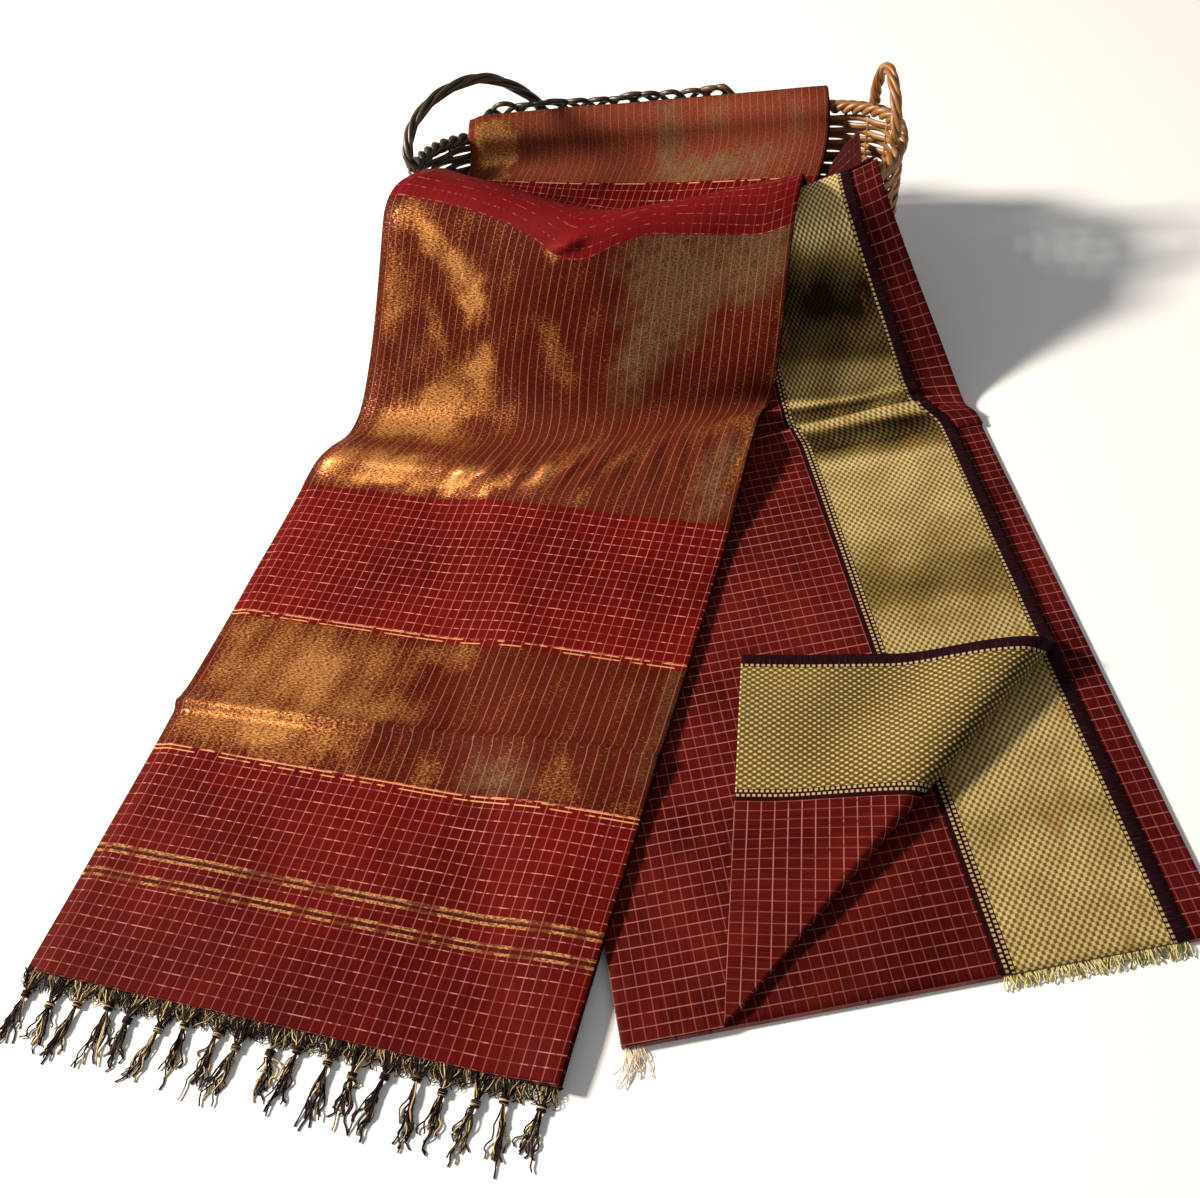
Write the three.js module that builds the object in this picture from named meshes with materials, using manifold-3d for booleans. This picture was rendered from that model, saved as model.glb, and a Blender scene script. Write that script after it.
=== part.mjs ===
// A checked saree, folded lengthwise in four, laid over a small cane basket.
// Two stretches of the cloth run from the basket down to the floor and out along it:
// the pallu (the decorated end, left, on top) and the body (right, with the gold border).
// Millimetres, +Z up, the floor is z = 0. X runs right, Y runs away from the viewer.
import * as THREE from 'three';
import { mergeVertices } from 'three/addons/utils/BufferGeometryUtils.js';
import Module from 'manifold-3d';

// Driving dimensions: the cloth
const FOLDED_WIDTH = 290;      // the 1160 mm cloth folded lengthwise in four
const LAYER = 1.1;             // one modelled layer of cloth
const GAP = 0.3;               // air between pieces that touch
const HIDDEN = 2.3;            // two hidden layers, modelled as one slab with a layered edge
const SELVAGE_INSET = 18;      // the bordered edge stops this far short of the fold under it
// Heights of the layers where a leg lies on the floor
const BODY_SECOND = HIDDEN + GAP;
const BODY_TOP = BODY_SECOND + LAYER + GAP;
const BODY_HIGH = BODY_TOP + LAYER;
const PALLU_TOP = HIDDEN + GAP;
const PALLU_HIGH = PALLU_TOP + LAYER;
// Places are measured from the point under the viewer, then centred on the whole piece
const CENTRE = { x: -34.3, y: 638.8 };
// The pallu leg on the floor: its far left corner, its turn and its length to the first gold cloth
const PALLU = { corner: [-322.7, 418.7], turn: 23.3, creaseAt: 178, creaseHigh: 4, goldAt: 360 };
// The body leg on the floor: its lower left corner and its turn
const BODY = { corner: [-26.5, 319.7], turn: -0.8, footAt: 370 };
// Cloth over the body leg starts to rise this far short of it, and has risen after this length
const RAMP = { from: 66, long: 50 };
// The corner of the body's top layer, rolled back over itself about a line from its end edge
const ROLL = { from: 49, angle: 41.2, growth: 0.035, leastRadius: 1.6, start: 7, settle: 60 };
// The basket: an oval with raised ends
const BASKET = { x: 88, y: 901, turn: 10, half: 165, halfDepth: 75, power: 2.3, rimLow: 88, rimRise: 20,
  rimRadius: 5, wall: 3, floor: 4, taper: 12 };

const rad = (degrees) => degrees * Math.PI / 180;
const mix = (a, b, f) => a + (b - a) * f;
const ease = (f) => { const c = Math.min(1, Math.max(0, f)); return c * c * (3 - 2 * c); };

// A point of a leg on the floor, from its distances along and across the leg
function legPoint(leg, along, across, height) {
  const t = rad(leg.turn);
  return [leg.corner[0] + along * Math.sin(t) + across * Math.cos(t),
    leg.corner[1] + along * Math.cos(t) - across * Math.sin(t), height];
}

// Smooth curve steered by points: straight between their midpoints, rounded at each of them
function steered(points, f) {
  const spans = points.length - 2;
  const at = Math.min(spans - 1e-9, Math.max(0, f)) ;
  const k = Math.floor(at), g = at - k;
  const P = points[k + 1];
  const first = k === 0 ? points[0] : points[k].map((c, i) => (c + P[i]) / 2);
  const last = k === spans - 1 ? points[k + 2] : P.map((c, i) => (c + points[k + 2][i]) / 2);
  return P.map((c, i) => (1 - g) * (1 - g) * first[i] + 2 * g * (1 - g) * c + g * g * last[i]);
}

// Cloth on the floor rises where it lies over the body leg
function liftOver(x, y) {
  const t = rad(BODY.turn);
  const across = (x - BODY.corner[0]) * Math.cos(t) - (y - BODY.corner[1]) * Math.sin(t);
  return (BODY_HIGH + 3 * GAP) * ease((across + RAMP.from) / RAMP.long);
}

// Places on the basket, from its centre: along its long axis and back across it
const onBasket = (along, back) => {
  const t = rad(BASKET.turn);
  return [BASKET.x + along * Math.cos(t) + back * Math.sin(t), BASKET.y - along * Math.sin(t) + back * Math.cos(t)];
};
function ovalPoint(angle, out) {
  const c = Math.cos(angle), s = Math.sin(angle), power = 2 / BASKET.power;
  const along = (BASKET.half + out) * Math.sign(c) * Math.abs(c) ** power;
  const back = (BASKET.halfDepth + out) * Math.sign(s) * Math.abs(s) ** power;
  return { along, back };
}
const rimHeight = (along) => BASKET.rimLow + BASKET.rimRise * (along / BASKET.half) ** 2;
// A point near the rim: out is away from the basket, up is above the rim's middle
function overRim(along, side, out, up) {
  const back = (BASKET.halfDepth + out) * (1 - Math.abs(along / (BASKET.half + Math.max(out, 0))) ** BASKET.power) ** (1 / BASKET.power);
  return [...onBasket(along, side * back), rimHeight(along) + up];
}

// The pallu's upper face. Rows follow the cloth from its fringe; columns cross it at these shares
const ACROSS = [0, 0.27, 0.52, 0.70, 1];
const floorRow = (along, high) => ACROSS.map((c) => legPoint(PALLU, along, c * (FOLDED_WIDTH - 1), high));
// The back rows pass over the rim at these distances along the basket
const BACK_ALONG = [-132, -72, -4, 46, 120];
const backRow = (out, up) => BACK_ALONG.map((along) => overRim(along, 1, out, up));
const PALLU_ROWS = [
  { name: 'fringe end', at: floorRow(0, PALLU_HIGH) },
  { name: 'middle', at: floorRow(90, PALLU_HIGH) },
  { name: 'before crease', at: floorRow(PALLU.creaseAt - 14, PALLU_HIGH) },
  { name: 'crease', at: floorRow(PALLU.creaseAt, PALLU_HIGH + PALLU.creaseHigh) },
  { name: 'past crease', at: floorRow(PALLU.creaseAt + 14, PALLU_HIGH) },
  { name: 'red checks', at: floorRow(270, PALLU_HIGH) },
  { name: 'gold begins', at: floorRow(PALLU.goldAt - 6, PALLU_HIGH) },
  { name: 'hump foot', at: floorRow(PALLU.goldAt + 5, PALLU_HIGH + 2) },
  { name: 'hump', at: [[-162, 765, 19], [-90, 732, 20], [-22, 706, 25], [31, 704, 26], [119, 716, 26]] },
  { name: 'valley', at: [[-144, 797, 3], [-72, 772, 3], [-6, 747, 8], [45, 739, 10], [130, 736, 11]] },
  { name: 'low fall', at: [[-126, 828, 34], [-60, 806, 36], [1, 776, 40], [58, 766, 43], [138, 740, 41]] },
  { name: 'high fall', at: [[-105, 864, 93], [-37, 836, 93], [20, 801, 83], [75, 797, 91], [158, 790, 97]] },
  { name: 'crest', at: [[-93, 891, 125], [-22, 854, 121], [33, 815, 114], [83, 812, 118], [168, 807, 124]] },
  { name: 'lip', at: [[-66, 917, 121], [-12, 876, 119], [42, 838, 112], [92, 834, 116], [175, 828, 122]] },
  { name: 'inner slope', at: [[-57, 938, 103], [2, 906, 86], [58, 875, 74], [104, 870, 73], [184, 860, 90]] },
  { name: 'dip', at: [[-50, 943, 88], [12, 926, 68], [68, 912, 58], [114, 905, 56], [192, 888, 66]] },
  { name: 'gold again', at: [[-48, 944, 86], [15, 944, 70], [78, 936, 62], [121, 925, 60], [200, 902, 62]] },
  { name: 'back slope', at: backRow(-18, -16) },
  { name: 'back crest', at: backRow(-13, 16.5) },
  { name: 'back fold', at: backRow(9, 16) },
];
// A row's place along the face: the cloth comes nearest to its points there
const palluRow = (name) => PALLU_ROWS.findIndex((r) => r.name === name) - 0.5;
function palluFace(row, across) {
  const c = mix(0, ACROSS.length - 2, across);
  const [x, y, z] = steered(PALLU_ROWS.map((r) => steered(r.at, c)), row);
  const resting = ease(palluRow('hump') - row);
  return [x, y, z + resting * liftOver(x, y)];
}

// The body's upper face over its foot and fall, in the same way. Only what lies right of the pallu, and a
// margin under it, is built; the last column is the outer fold under the border
const BODY_ACROSS = [0.45, 0.62, 0.94, 1];
const bodyRow = (along, high) => BODY_ACROSS.map((c) => legPoint(BODY, along, c * FOLDED_WIDTH, high));
const BODY_ALONG = [20, 50, 128, 146];
const rimRow = (out, up) => BODY_ALONG.map((along) => overRim(along, -1, out, up));
const BODY_ROWS = [
  { name: 'foot', at: bodyRow(BODY.footAt, BODY_HIGH) },
  { name: 'before hump', at: bodyRow(BODY.footAt + 8, BODY_HIGH) },
  { name: 'hump', at: [[104, 704, 9], [143, 702, 12], [229, 710, 13], [253, 705, 10]] },
  { name: 'valley', at: [[104, 724, 4], [139, 722, 3], [225, 730, 3], [252, 718, 5]] },
  { name: 'low fall', at: [[104, 764, 30], [138, 754, 30], [218, 741, 31], [246, 747, 31]] },
  { name: 'high fall', at: [[98, 800, 74], [134, 794, 76], [208, 778, 74], [233, 788, 76]] },
  { name: 'crest', at: rimRow(14, 13.2) },
  { name: 'lip', at: rimRow(-10, 10.8) },
];
function bodyFace(row, across) {
  const c = mix(0, BODY_ACROSS.length - 2, across);
  return steered(BODY_ROWS.map((r) => steered(r.at, c)), row);
}

// Unit normal of a face given as a function of two parameters, by small differences
function normalOf(face, a, b) {
  const e = 1e-3;
  const da = new THREE.Vector3(...face(a + e, b)).sub(new THREE.Vector3(...face(a - e, b)));
  const db = new THREE.Vector3(...face(a, b + e)).sub(new THREE.Vector3(...face(a, b - e)));
  return db.cross(da).normalize();
}

// Each hidden layer's fold stands out this far at the side of its slab
const EDGE_BULGE = 0.6;
// Closed slab of cloth under a face: rows along, columns across, from depth top to depth bottom.
// layers > 0 gives its two long sides one rounded edge for each hidden layer
function clothSlab({ face, rows, columns, top, bottom, layers = 0, flip = 1, flatBelow = null }) {
  const rings = rows.map((a) => {
    const at = columns.map((b) => ({ p: new THREE.Vector3(...face(a, b)), n: normalOf(face, a, b).multiplyScalar(flip) }));
    const drop = (q, d) => {
      const v = q.p.clone().addScaledVector(q.n, -d);
      if (flatBelow !== null && v.z < flatBelow) v.z = flatBelow;
      return v;
    };
    const upper = at.map((q) => drop(q, top));
    const lower = at.map((q) => drop(q, bottom));
    const side = (q, inner) => {
      const out = q.p.clone().sub(inner.p).projectOnPlane(q.n).normalize();
      const points = [];
      for (let k = 0; k < layers; k += 1) {
        for (const [share, bulge] of [[0.5, EDGE_BULGE], [1, 0]]) {
          if (k === layers - 1 && share === 1) continue;
          const d = mix(top, bottom, (k + share) / layers);
          points.push(drop(q, d).addScaledVector(out, bulge));
        }
      }
      return points;
    };
    const last = at.length - 1;
    const right = side(at[last], at[last - 1]);
    const left = side(at[0], at[1]).reverse();
    return { loop: [...upper, ...right, ...lower.reverse(), ...left], across: at.length, sides: right.length };
  });
  const size = rings[0].loop.length, count = rings[0].across, sides = rings[0].sides;
  const position = rings.flatMap((r) => r.loop.flatMap((v) => [v.x, v.y, v.z]));
  const index = [];
  // The lower side's quads are split along the same diagonal as the upper side's, so that layers nest
  for (let i = 0; i < rings.length - 1; i += 1) {
    for (let j = 0; j < size; j += 1) {
      const k = (j + 1) % size, a = i * size + j, b = i * size + k, c = b + size, d = a + size;
      if (j < count + sides) index.push(a, b, c, a, c, d);
      else index.push(a, b, d, b, c, d);
    }
  }
  // Each end: quads between the faces, and a fan at either side round the outline of the folds
  for (const [base, turn] of [[0, 1], [(rings.length - 1) * size, -1]]) {
    const triangle = (a, b, c) => (turn > 0 ? index.push(a, c, b) : index.push(a, b, c));
    const under = (j) => base + count + sides + count - 1 - j;
    for (let j = 1; j < count - 2; j += 1) {
      triangle(base + j, base + j + 1, under(j));
      triangle(base + j + 1, under(j + 1), under(j));
    }
    for (const [apex, first] of [[under(count - 2), count - 2], [under(1), 2 * count + sides - 1]]) {
      for (let k = first; k < first + sides + 2; k += 1) triangle(base + k % size, base + (k + 1) % size, apex);
    }
  }
  const geometry = new THREE.BufferGeometry();
  geometry.setAttribute('position', new THREE.Float32BufferAttribute(position, 3));
  geometry.setIndex(index);
  return geometry;
}

const steps = (from, to, count) => Array.from({ length: count + 1 }, (_, i) => mix(from, to, i / count));

const group = new THREE.Group();
const cloth = { roughness: 0.75, metalness: 0 };
function add(name, geometry, color, finish = cloth) {
  const mesh = new THREE.Mesh(geometry, new THREE.MeshStandardMaterial({ color, ...finish }));
  mesh.name = name;
  mesh.position.set(-CENTRE.x, -CENTRE.y, 0);
  group.add(mesh);
}
const MAROON = 0x7a1418, TISSUE = 0x8b4a1e, UNDER = 0x5c0e12, CANE = 0x8a6432, THREAD = 0x2a1c18;

// The pallu, stretch by stretch
const PALLU_STRETCHES = [
  { name: 'floor', from: 0, to: palluRow('hump foot') + 0.12, steps: 16, color: MAROON },
  { name: 'fall', from: palluRow('hump foot') + 0.14, to: palluRow('crest') + 0.72, steps: 22, color: TISSUE },
  { name: 'dip', from: palluRow('crest') + 0.74, to: palluRow('gold again') + 0.5, steps: 13, color: MAROON },
  { name: 'back', from: palluRow('gold again') + 0.52, to: PALLU_ROWS.length - 2, steps: 8, color: TISSUE },
];
const PALLU_COLUMNS = steps(0, 1, 12);
for (const s of PALLU_STRETCHES) {
  const rows = steps(s.from, s.to, s.steps);
  add(`pallu_${s.name}_top`, clothSlab({ face: palluFace, rows, columns: PALLU_COLUMNS, top: 0, bottom: LAYER }), s.color);
  add(`pallu_${s.name}_under`, clothSlab({ face: palluFace, rows, columns: PALLU_COLUMNS, top: LAYER + GAP,
    bottom: LAYER + GAP + HIDDEN, layers: 3 }), UNDER);
}

// The body leg on the floor: hidden slab, second layer, and the top layer cut short by the rolled corner
const onFloor = (high) => (a, b) => legPoint(BODY, a, b, high);
const WIDE_BORDERED = FOLDED_WIDTH - SELVAGE_INSET;
const footEnd = BODY.footAt - GAP;
add('body_floor_under', clothSlab({ face: onFloor(HIDDEN), rows: steps(0, footEnd, 8),
  columns: steps(0.5, FOLDED_WIDTH - 0.5, 8), top: 0, bottom: HIDDEN, layers: 3 }), UNDER);
add('body_floor_second', clothSlab({ face: onFloor(BODY_SECOND + LAYER), rows: steps(0, footEnd, 6),
  columns: steps(0, WIDE_BORDERED, 8), top: 0, bottom: LAYER }), MAROON);
const rollLine = (across) => Math.max(0, (across - ROLL.from) * Math.tan(rad(ROLL.angle)));
const cutFace = (a, b) => legPoint(BODY, mix(rollLine(b) + GAP / 2, footEnd, a), b, BODY_HIGH);
add('body_floor_top', clothSlab({ face: cutFace, rows: steps(0, 1, 8),
  columns: [...steps(0, ROLL.from, 3), ...steps(ROLL.from, WIDE_BORDERED, 10).slice(1)], top: 0, bottom: LAYER }), MAROON);

// The rolled corner: a cone that grows from the end edge to the selvage, then the flap lying back.
// swing is the angle of a cloth point beyond the roll line, reach its distance from the cone's tip
const FLAP_HIGH = BODY_HIGH + GAP + LAYER;
const HALF_TURN = Math.PI * ROLL.growth;
const flapWide = rad(ROLL.angle);
function flapFace(swing, share) {
  const line = rad(ROLL.angle);
  const longest = (WIDE_BORDERED - ROLL.from) / Math.cos(line - swing);
  const reach = mix(ROLL.start, longest, share);
  const radius = Math.max(ROLL.leastRadius, ROLL.growth * reach);
  const turned = Math.min(Math.PI, swing / ROLL.growth);
  const past = Math.max(0, swing - HALF_TURN);
  const along = Math.sin(line + past) * reach;
  const across = Math.cos(line + past) * reach;
  const settled = ease(1 - past * reach / ROLL.settle);
  const rolled = BODY_TOP + radius * (1 - Math.cos(turned));
  const high = past > 0 ? mix(FLAP_HIGH, Math.max(FLAP_HIGH, rolled), settled) : rolled;
  const out = radius * Math.sin(turned);
  return legPoint(BODY, along - out * Math.cos(line), ROLL.from + across + out * Math.sin(line), high);
}
const swings = [...steps(0, HALF_TURN, 9), ...steps(HALF_TURN, flapWide, 12).slice(1)];
add('body_flap', clothSlab({ face: flapFace, rows: swings, columns: steps(0, 1, 9), top: 0, bottom: LAYER }), MAROON);

// The body leg's foot and fall, over the basket's rim
const FALL_ROWS = steps(0, BODY_ROWS.length - 2, 20);
const BORDER_SHARE = 0.8;
const FALL_COLUMNS = steps(0, BORDER_SHARE, 7);
add('body_fall_top', clothSlab({ face: bodyFace, rows: FALL_ROWS, columns: FALL_COLUMNS, top: 0, bottom: LAYER }), MAROON);
add('body_fall_under', clothSlab({ face: bodyFace, rows: FALL_ROWS, columns: [...FALL_COLUMNS, 0.9, 1],
  top: LAYER + GAP, bottom: BODY_HIGH, layers: 4 }), UNDER);

// The body stretch again behind the rim, going down into the basket beside the pallu. It begins at the seam
// with the fall, one layer down
const INSIDE_ACROSS = [0.5, 0.7, 0.85, 1];
const seamRow = (on, down) => INSIDE_ACROSS.map((c) => {
  const [x, y, z] = bodyFace(BODY_ROWS.length - 2, c);
  return [x, y + on, z - LAYER - down];
});
const INSIDE_ROWS = [
  { name: 'seam', at: seamRow(GAP + 0.1, GAP) },
  { name: 'over rim', at: seamRow(9, 1) },
  { name: 'down', at: [[186, 862, 74], [200, 862, 76], [213, 862, 79], [226, 862, 84]] },
  { name: 'bottom', at: [[190, 884, 56], [203, 884, 60], [216, 884, 66], [228, 884, 74]] },
  { name: 'up', at: [[199, 901, 54], [210, 903, 61], [221, 903, 69], [231, 901, 80]] },
  { name: 'end', at: [[210, 909, 66], [217, 913, 74], [225, 914, 83], [232, 911, 92]] },
];
const insideFace = (row, across) => {
  const c = mix(0, INSIDE_ACROSS.length - 2, across);
  return steered(INSIDE_ROWS.map((r) => steered(r.at, c)), row);
};
add('body_inside', clothSlab({ face: insideFace, rows: steps(0, INSIDE_ROWS.length - 2, 10), columns: steps(0, 1, 5),
  top: 0, bottom: HIDDEN }), MAROON);

// The basket
const BASKET_SIDES = 40;
// A ring of points round the oval at each level of a profile, closed on itself
function ovalSolid(profile, sides) {
  const position = [], index = [];
  for (let i = 0; i < sides; i += 1) {
    const angle = 2 * Math.PI * i / sides;
    for (const level of profile) {
      const q = ovalPoint(angle, level.out);
      const [x, y] = onBasket(q.along, q.back);
      position.push(x, y, level.high(q.along));
    }
  }
  const n = profile.length;
  for (let i = 0; i < sides; i += 1) {
    const j = (i + 1) % sides;
    for (let k = 0; k < n; k += 1) {
      const m = (k + 1) % n;
      index.push(i * n + k, j * n + k, j * n + m, i * n + k, j * n + m, i * n + m);
    }
  }
  return { position, index };
}
function geometryOf({ position, index }) {
  const geometry = new THREE.BufferGeometry();
  geometry.setAttribute('position', new THREE.Float32BufferAttribute(position, 3));
  geometry.setIndex(index);
  return geometry;
}
// The bowl: a wall profile from the outer foot up and down the inside to the floor, with two centre points
function bowl() {
  const flat = (z) => () => z;
  const share = (f) => (along) => mix(0, rimHeight(along) - BASKET.rimRadius - GAP, f);
  const wall = BASKET.wall / 2;
  const profile = [
    { out: wall - BASKET.taper, high: flat(0) },
    { out: wall - BASKET.taper * 0.35, high: share(0.5) },
    { out: wall, high: share(1) },
    { out: -wall, high: share(1) },
    { out: -wall - BASKET.taper * 0.35, high: share(0.5) },
    { out: -wall - BASKET.taper, high: flat(BASKET.floor) },
  ];
  const sides = BASKET_SIDES, n = profile.length;
  const { position, index } = ovalSolid(profile, sides);
  const kept = index.filter((_, t) => {
    const within = Math.floor(t / 6) % n;
    return within !== n - 1;
  });
  const base = position.length / 3;
  position.push(BASKET.x, BASKET.y, 0, BASKET.x, BASKET.y, BASKET.floor);
  for (let i = 0; i < sides; i += 1) {
    const j = (i + 1) % sides;
    kept.push(base, j * n, i * n);
    kept.push(base + 1, i * n + n - 1, j * n + n - 1);
  }
  return geometryOf({ position, index: kept });
}
const CANE_FINISH = { roughness: 0.55, metalness: 0 };
add('basket_bowl', bowl(), CANE, CANE_FINISH);
const rimSection = steps(0, 7, 7).map((k) => {
  const a = 2 * Math.PI * k / 8;
  return { out: BASKET.rimRadius * Math.cos(a), high: (along) => rimHeight(along) + BASKET.rimRadius * Math.sin(a) };
});
add('basket_rim', geometryOf(ovalSolid(rimSection, BASKET_SIDES)), CANE, CANE_FINISH);

// Two loop handles of bent cane on the rim's ends, each an extruded section along a smooth curve
const HANDLE_RADIUS = 3.6;
const HANDLES = {
  basket_handle_left: [[-74, 920, 115.5], [-76, 926, 126], [-68, 942, 138], [-46, 960, 146], [-16, 984, 138], [12, 999, 112],
    [24, 1000, 88], [25, 987, 76]],
  basket_handle_right: [[239.5, 853, 113.5], [242, 853, 124], [244, 864, 140], [245, 882, 148], [245, 899, 140],
    [243, 907, 124], [242, 908, 112.5]],
};
for (const [name, points] of Object.entries(HANDLES)) {
  const curve = new THREE.CatmullRomCurve3(points.map((p) => new THREE.Vector3(...p)));
  const section = new THREE.Shape();
  section.absarc(0, 0, HANDLE_RADIUS, 0, 2 * Math.PI, false);
  const geometry = new THREE.ExtrudeGeometry(section, { steps: 22, extrudePath: curve, curveSegments: 4, bevelEnabled: false });
  geometry.deleteAttribute('normal');
  geometry.deleteAttribute('uv');
  add(name, mergeVertices(geometry, 1e-3), CANE, CANE_FINISH);
}

// The rest of the cloth, folded to and fro in the basket under the dip, layered at its edges
const STACK = { low: BASKET.floor + GAP, high: 42, half: 136, halfDepth: 44, folds: 4, bulge: 2.5, sides: 24 };
function stack() {
  const profile = [];
  for (let k = 0; k < STACK.folds; k += 1) {
    for (const [share, out] of [[0, -STACK.bulge], [0.25, 0], [0.75, 0]]) {
      profile.push({ z: mix(STACK.low, STACK.high, (k + share) / STACK.folds), out });
    }
  }
  profile.push({ z: STACK.high, out: -STACK.bulge });
  const position = [], index = [], n = profile.length;
  for (let i = 0; i < STACK.sides; i += 1) {
    const angle = 2 * Math.PI * i / STACK.sides;
    const c = Math.cos(angle), s = Math.sin(angle);
    for (const level of profile) {
      const along = (STACK.half + level.out) * Math.sign(c) * Math.abs(c) ** 0.6;
      const back = (STACK.halfDepth + level.out) * Math.sign(s) * Math.abs(s) ** 0.6;
      position.push(...onBasket(along, back), level.z);
    }
  }
  for (let i = 0; i < STACK.sides; i += 1) {
    const j = (i + 1) % STACK.sides;
    for (let k = 0; k < n - 1; k += 1) {
      index.push(i * n + k, j * n + k, j * n + k + 1, i * n + k, j * n + k + 1, i * n + k + 1);
    }
  }
  const base = position.length / 3;
  position.push(BASKET.x, BASKET.y, STACK.low, BASKET.x, BASKET.y, STACK.high);
  for (let i = 0; i < STACK.sides; i += 1) {
    const j = (i + 1) % STACK.sides;
    index.push(base, j * n, i * n, base + 1, i * n + n - 1, j * n + n - 1);
  }
  return geometryOf({ position, index });
}
add('folded_stack', stack(), UNDER);

// Fringes: strands fused to a narrow strip that lies just off the cloth's end
const wasm = await Module();
wasm.setup();
function solidOf(geometry) {
  const bare = geometry.clone();
  bare.deleteAttribute('normal');
  bare.deleteAttribute('uv');
  const merged = mergeVertices(bare, 1e-4);
  return new wasm.Manifold(new wasm.Mesh({ numProp: 3, vertProperties: new Float32Array(merged.attributes.position.array),
    triVerts: new Uint32Array(merged.index.array) }));
}
// One strand: a tapered three-sided bar through a few points
function strand(points, radius) {
  const position = [], index = [], sides = 3, n = points.length;
  points.forEach((p, i) => {
    const ahead = points[Math.min(i + 1, n - 1)], behind = points[Math.max(i - 1, 0)];
    const way = new THREE.Vector3(...ahead).sub(new THREE.Vector3(...behind)).normalize();
    const side = new THREE.Vector3(0, 0, 1).cross(way).normalize();
    const up = way.clone().cross(side);
    for (let k = 0; k < sides; k += 1) {
      const a = 2 * Math.PI * k / sides + Math.PI / 2;
      const v = new THREE.Vector3(...p).addScaledVector(side, radius[i] * Math.cos(a)).addScaledVector(up, radius[i] * Math.sin(a));
      position.push(v.x, v.y, v.z);
    }
  });
  for (let i = 0; i < n - 1; i += 1) {
    for (let k = 0; k < sides; k += 1) {
      const m = (k + 1) % sides;
      index.push(i * sides + k, i * sides + m, (i + 1) * sides + m, i * sides + k, (i + 1) * sides + m, (i + 1) * sides + k);
    }
  }
  index.push(0, 2, 1, (n - 1) * sides, (n - 1) * sides + 1, (n - 1) * sides + 2);
  return geometryOf({ position, index });
}
function fused(geometries) {
  const whole = geometries.map(solidOf).reduce((a, b) => a.add(b));
  const mesh = whole.getMesh();
  const geometry = new THREE.BufferGeometry();
  geometry.setAttribute('position', new THREE.Float32BufferAttribute(mesh.vertProperties, 3));
  geometry.setIndex(new THREE.Uint32BufferAttribute(mesh.triVerts, 1));
  return geometry;
}
const FRINGE = { strip: 2.4, high: 2.6, pitch: 18, knotAt: 15, length: 36, tails: 3 };
function palluFringe() {
  const at = (out, across, high) => legPoint(PALLU, -out, across, high);
  const strip = clothSlab({ face: (a, b) => at(-a, b, FRINGE.high), rows: [-GAP - FRINGE.strip, -GAP], columns: steps(1, 288, 4),
    top: 0, bottom: FRINGE.high });
  const pieces = [strip];
  const knots = Math.floor(288 / FRINGE.pitch);
  for (let k = 0; k < knots; k += 1) {
    const middle = (k + 0.5) * 289 / knots;
    const drift = 2.5 * Math.sin(k * 2.3);
    const knot = FRINGE.knotAt + 2 * Math.sin(k * 1.7);
    for (const side of [-1, 1]) {
      pieces.push(strand([at(1.5, middle + side * 6, 1.6), at(knot, middle, 1.9)], [0.9, 1.4]));
    }
    for (let t = 0; t < FRINGE.tails; t += 1) {
      const spread = (t - 1) * 3.4 + drift;
      const end = FRINGE.length + 3 * Math.sin(k * 3.1 + t * 2);
      pieces.push(strand([at(knot - 1, middle, 1.9), at(end, middle + spread, 1.3)], [1.3, 0.6]));
    }
  }
  return fused(pieces);
}
add('pallu_fringe', palluFringe(), THREAD);

// Short cut ends of the gold border, below the body's lower edge
const CUT_ENDS = { from: 182, to: 270, count: 30, strip: 1.6, length: 8, high: 2.2 };
function cutEnds() {
  const at = (out, across, high) => legPoint(BODY, -out, across, high);
  const strip = clothSlab({ face: (a, b) => at(-a, b, CUT_ENDS.high), rows: [-GAP - CUT_ENDS.strip, -GAP],
    columns: steps(CUT_ENDS.from, CUT_ENDS.to, 2), top: 0, bottom: CUT_ENDS.high });
  const pieces = [strip];
  for (let k = 0; k < CUT_ENDS.count; k += 1) {
    const across = mix(CUT_ENDS.from + 1.5, CUT_ENDS.to - 1.5, k / (CUT_ENDS.count - 1));
    const end = CUT_ENDS.length + 1.2 * Math.sin(k * 2.7);
    pieces.push(strand([at(1, across, 1.3), at(end, across + 0.8 * Math.sin(k * 1.9), 1.1)], [0.7, 0.5]));
  }
  return fused(pieces);
}
add('body_cut_ends', cutEnds(), 0x8a8a3a);

export default group;
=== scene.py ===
# %% [markdown]
# # A folded silk saree over a small cane basket
# The real thing is one long cloth, folded lengthwise in four. Two stretches of it run from a
# cane basket down to the floor: the decorated end lies on the left, the plain body with its
# gold border on the right. The CAD model holds the shape of every stretch as plain solids.
# This lesson dresses them: thin sheets of cloth with woven checks and gold, a plaited basket
# and knotted threads. Each piece is worked out with numpy from a few sizes and short tables.

# %% Load the frame
import bpy
import math
import numpy as np
from mathutils import Matrix


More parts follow.
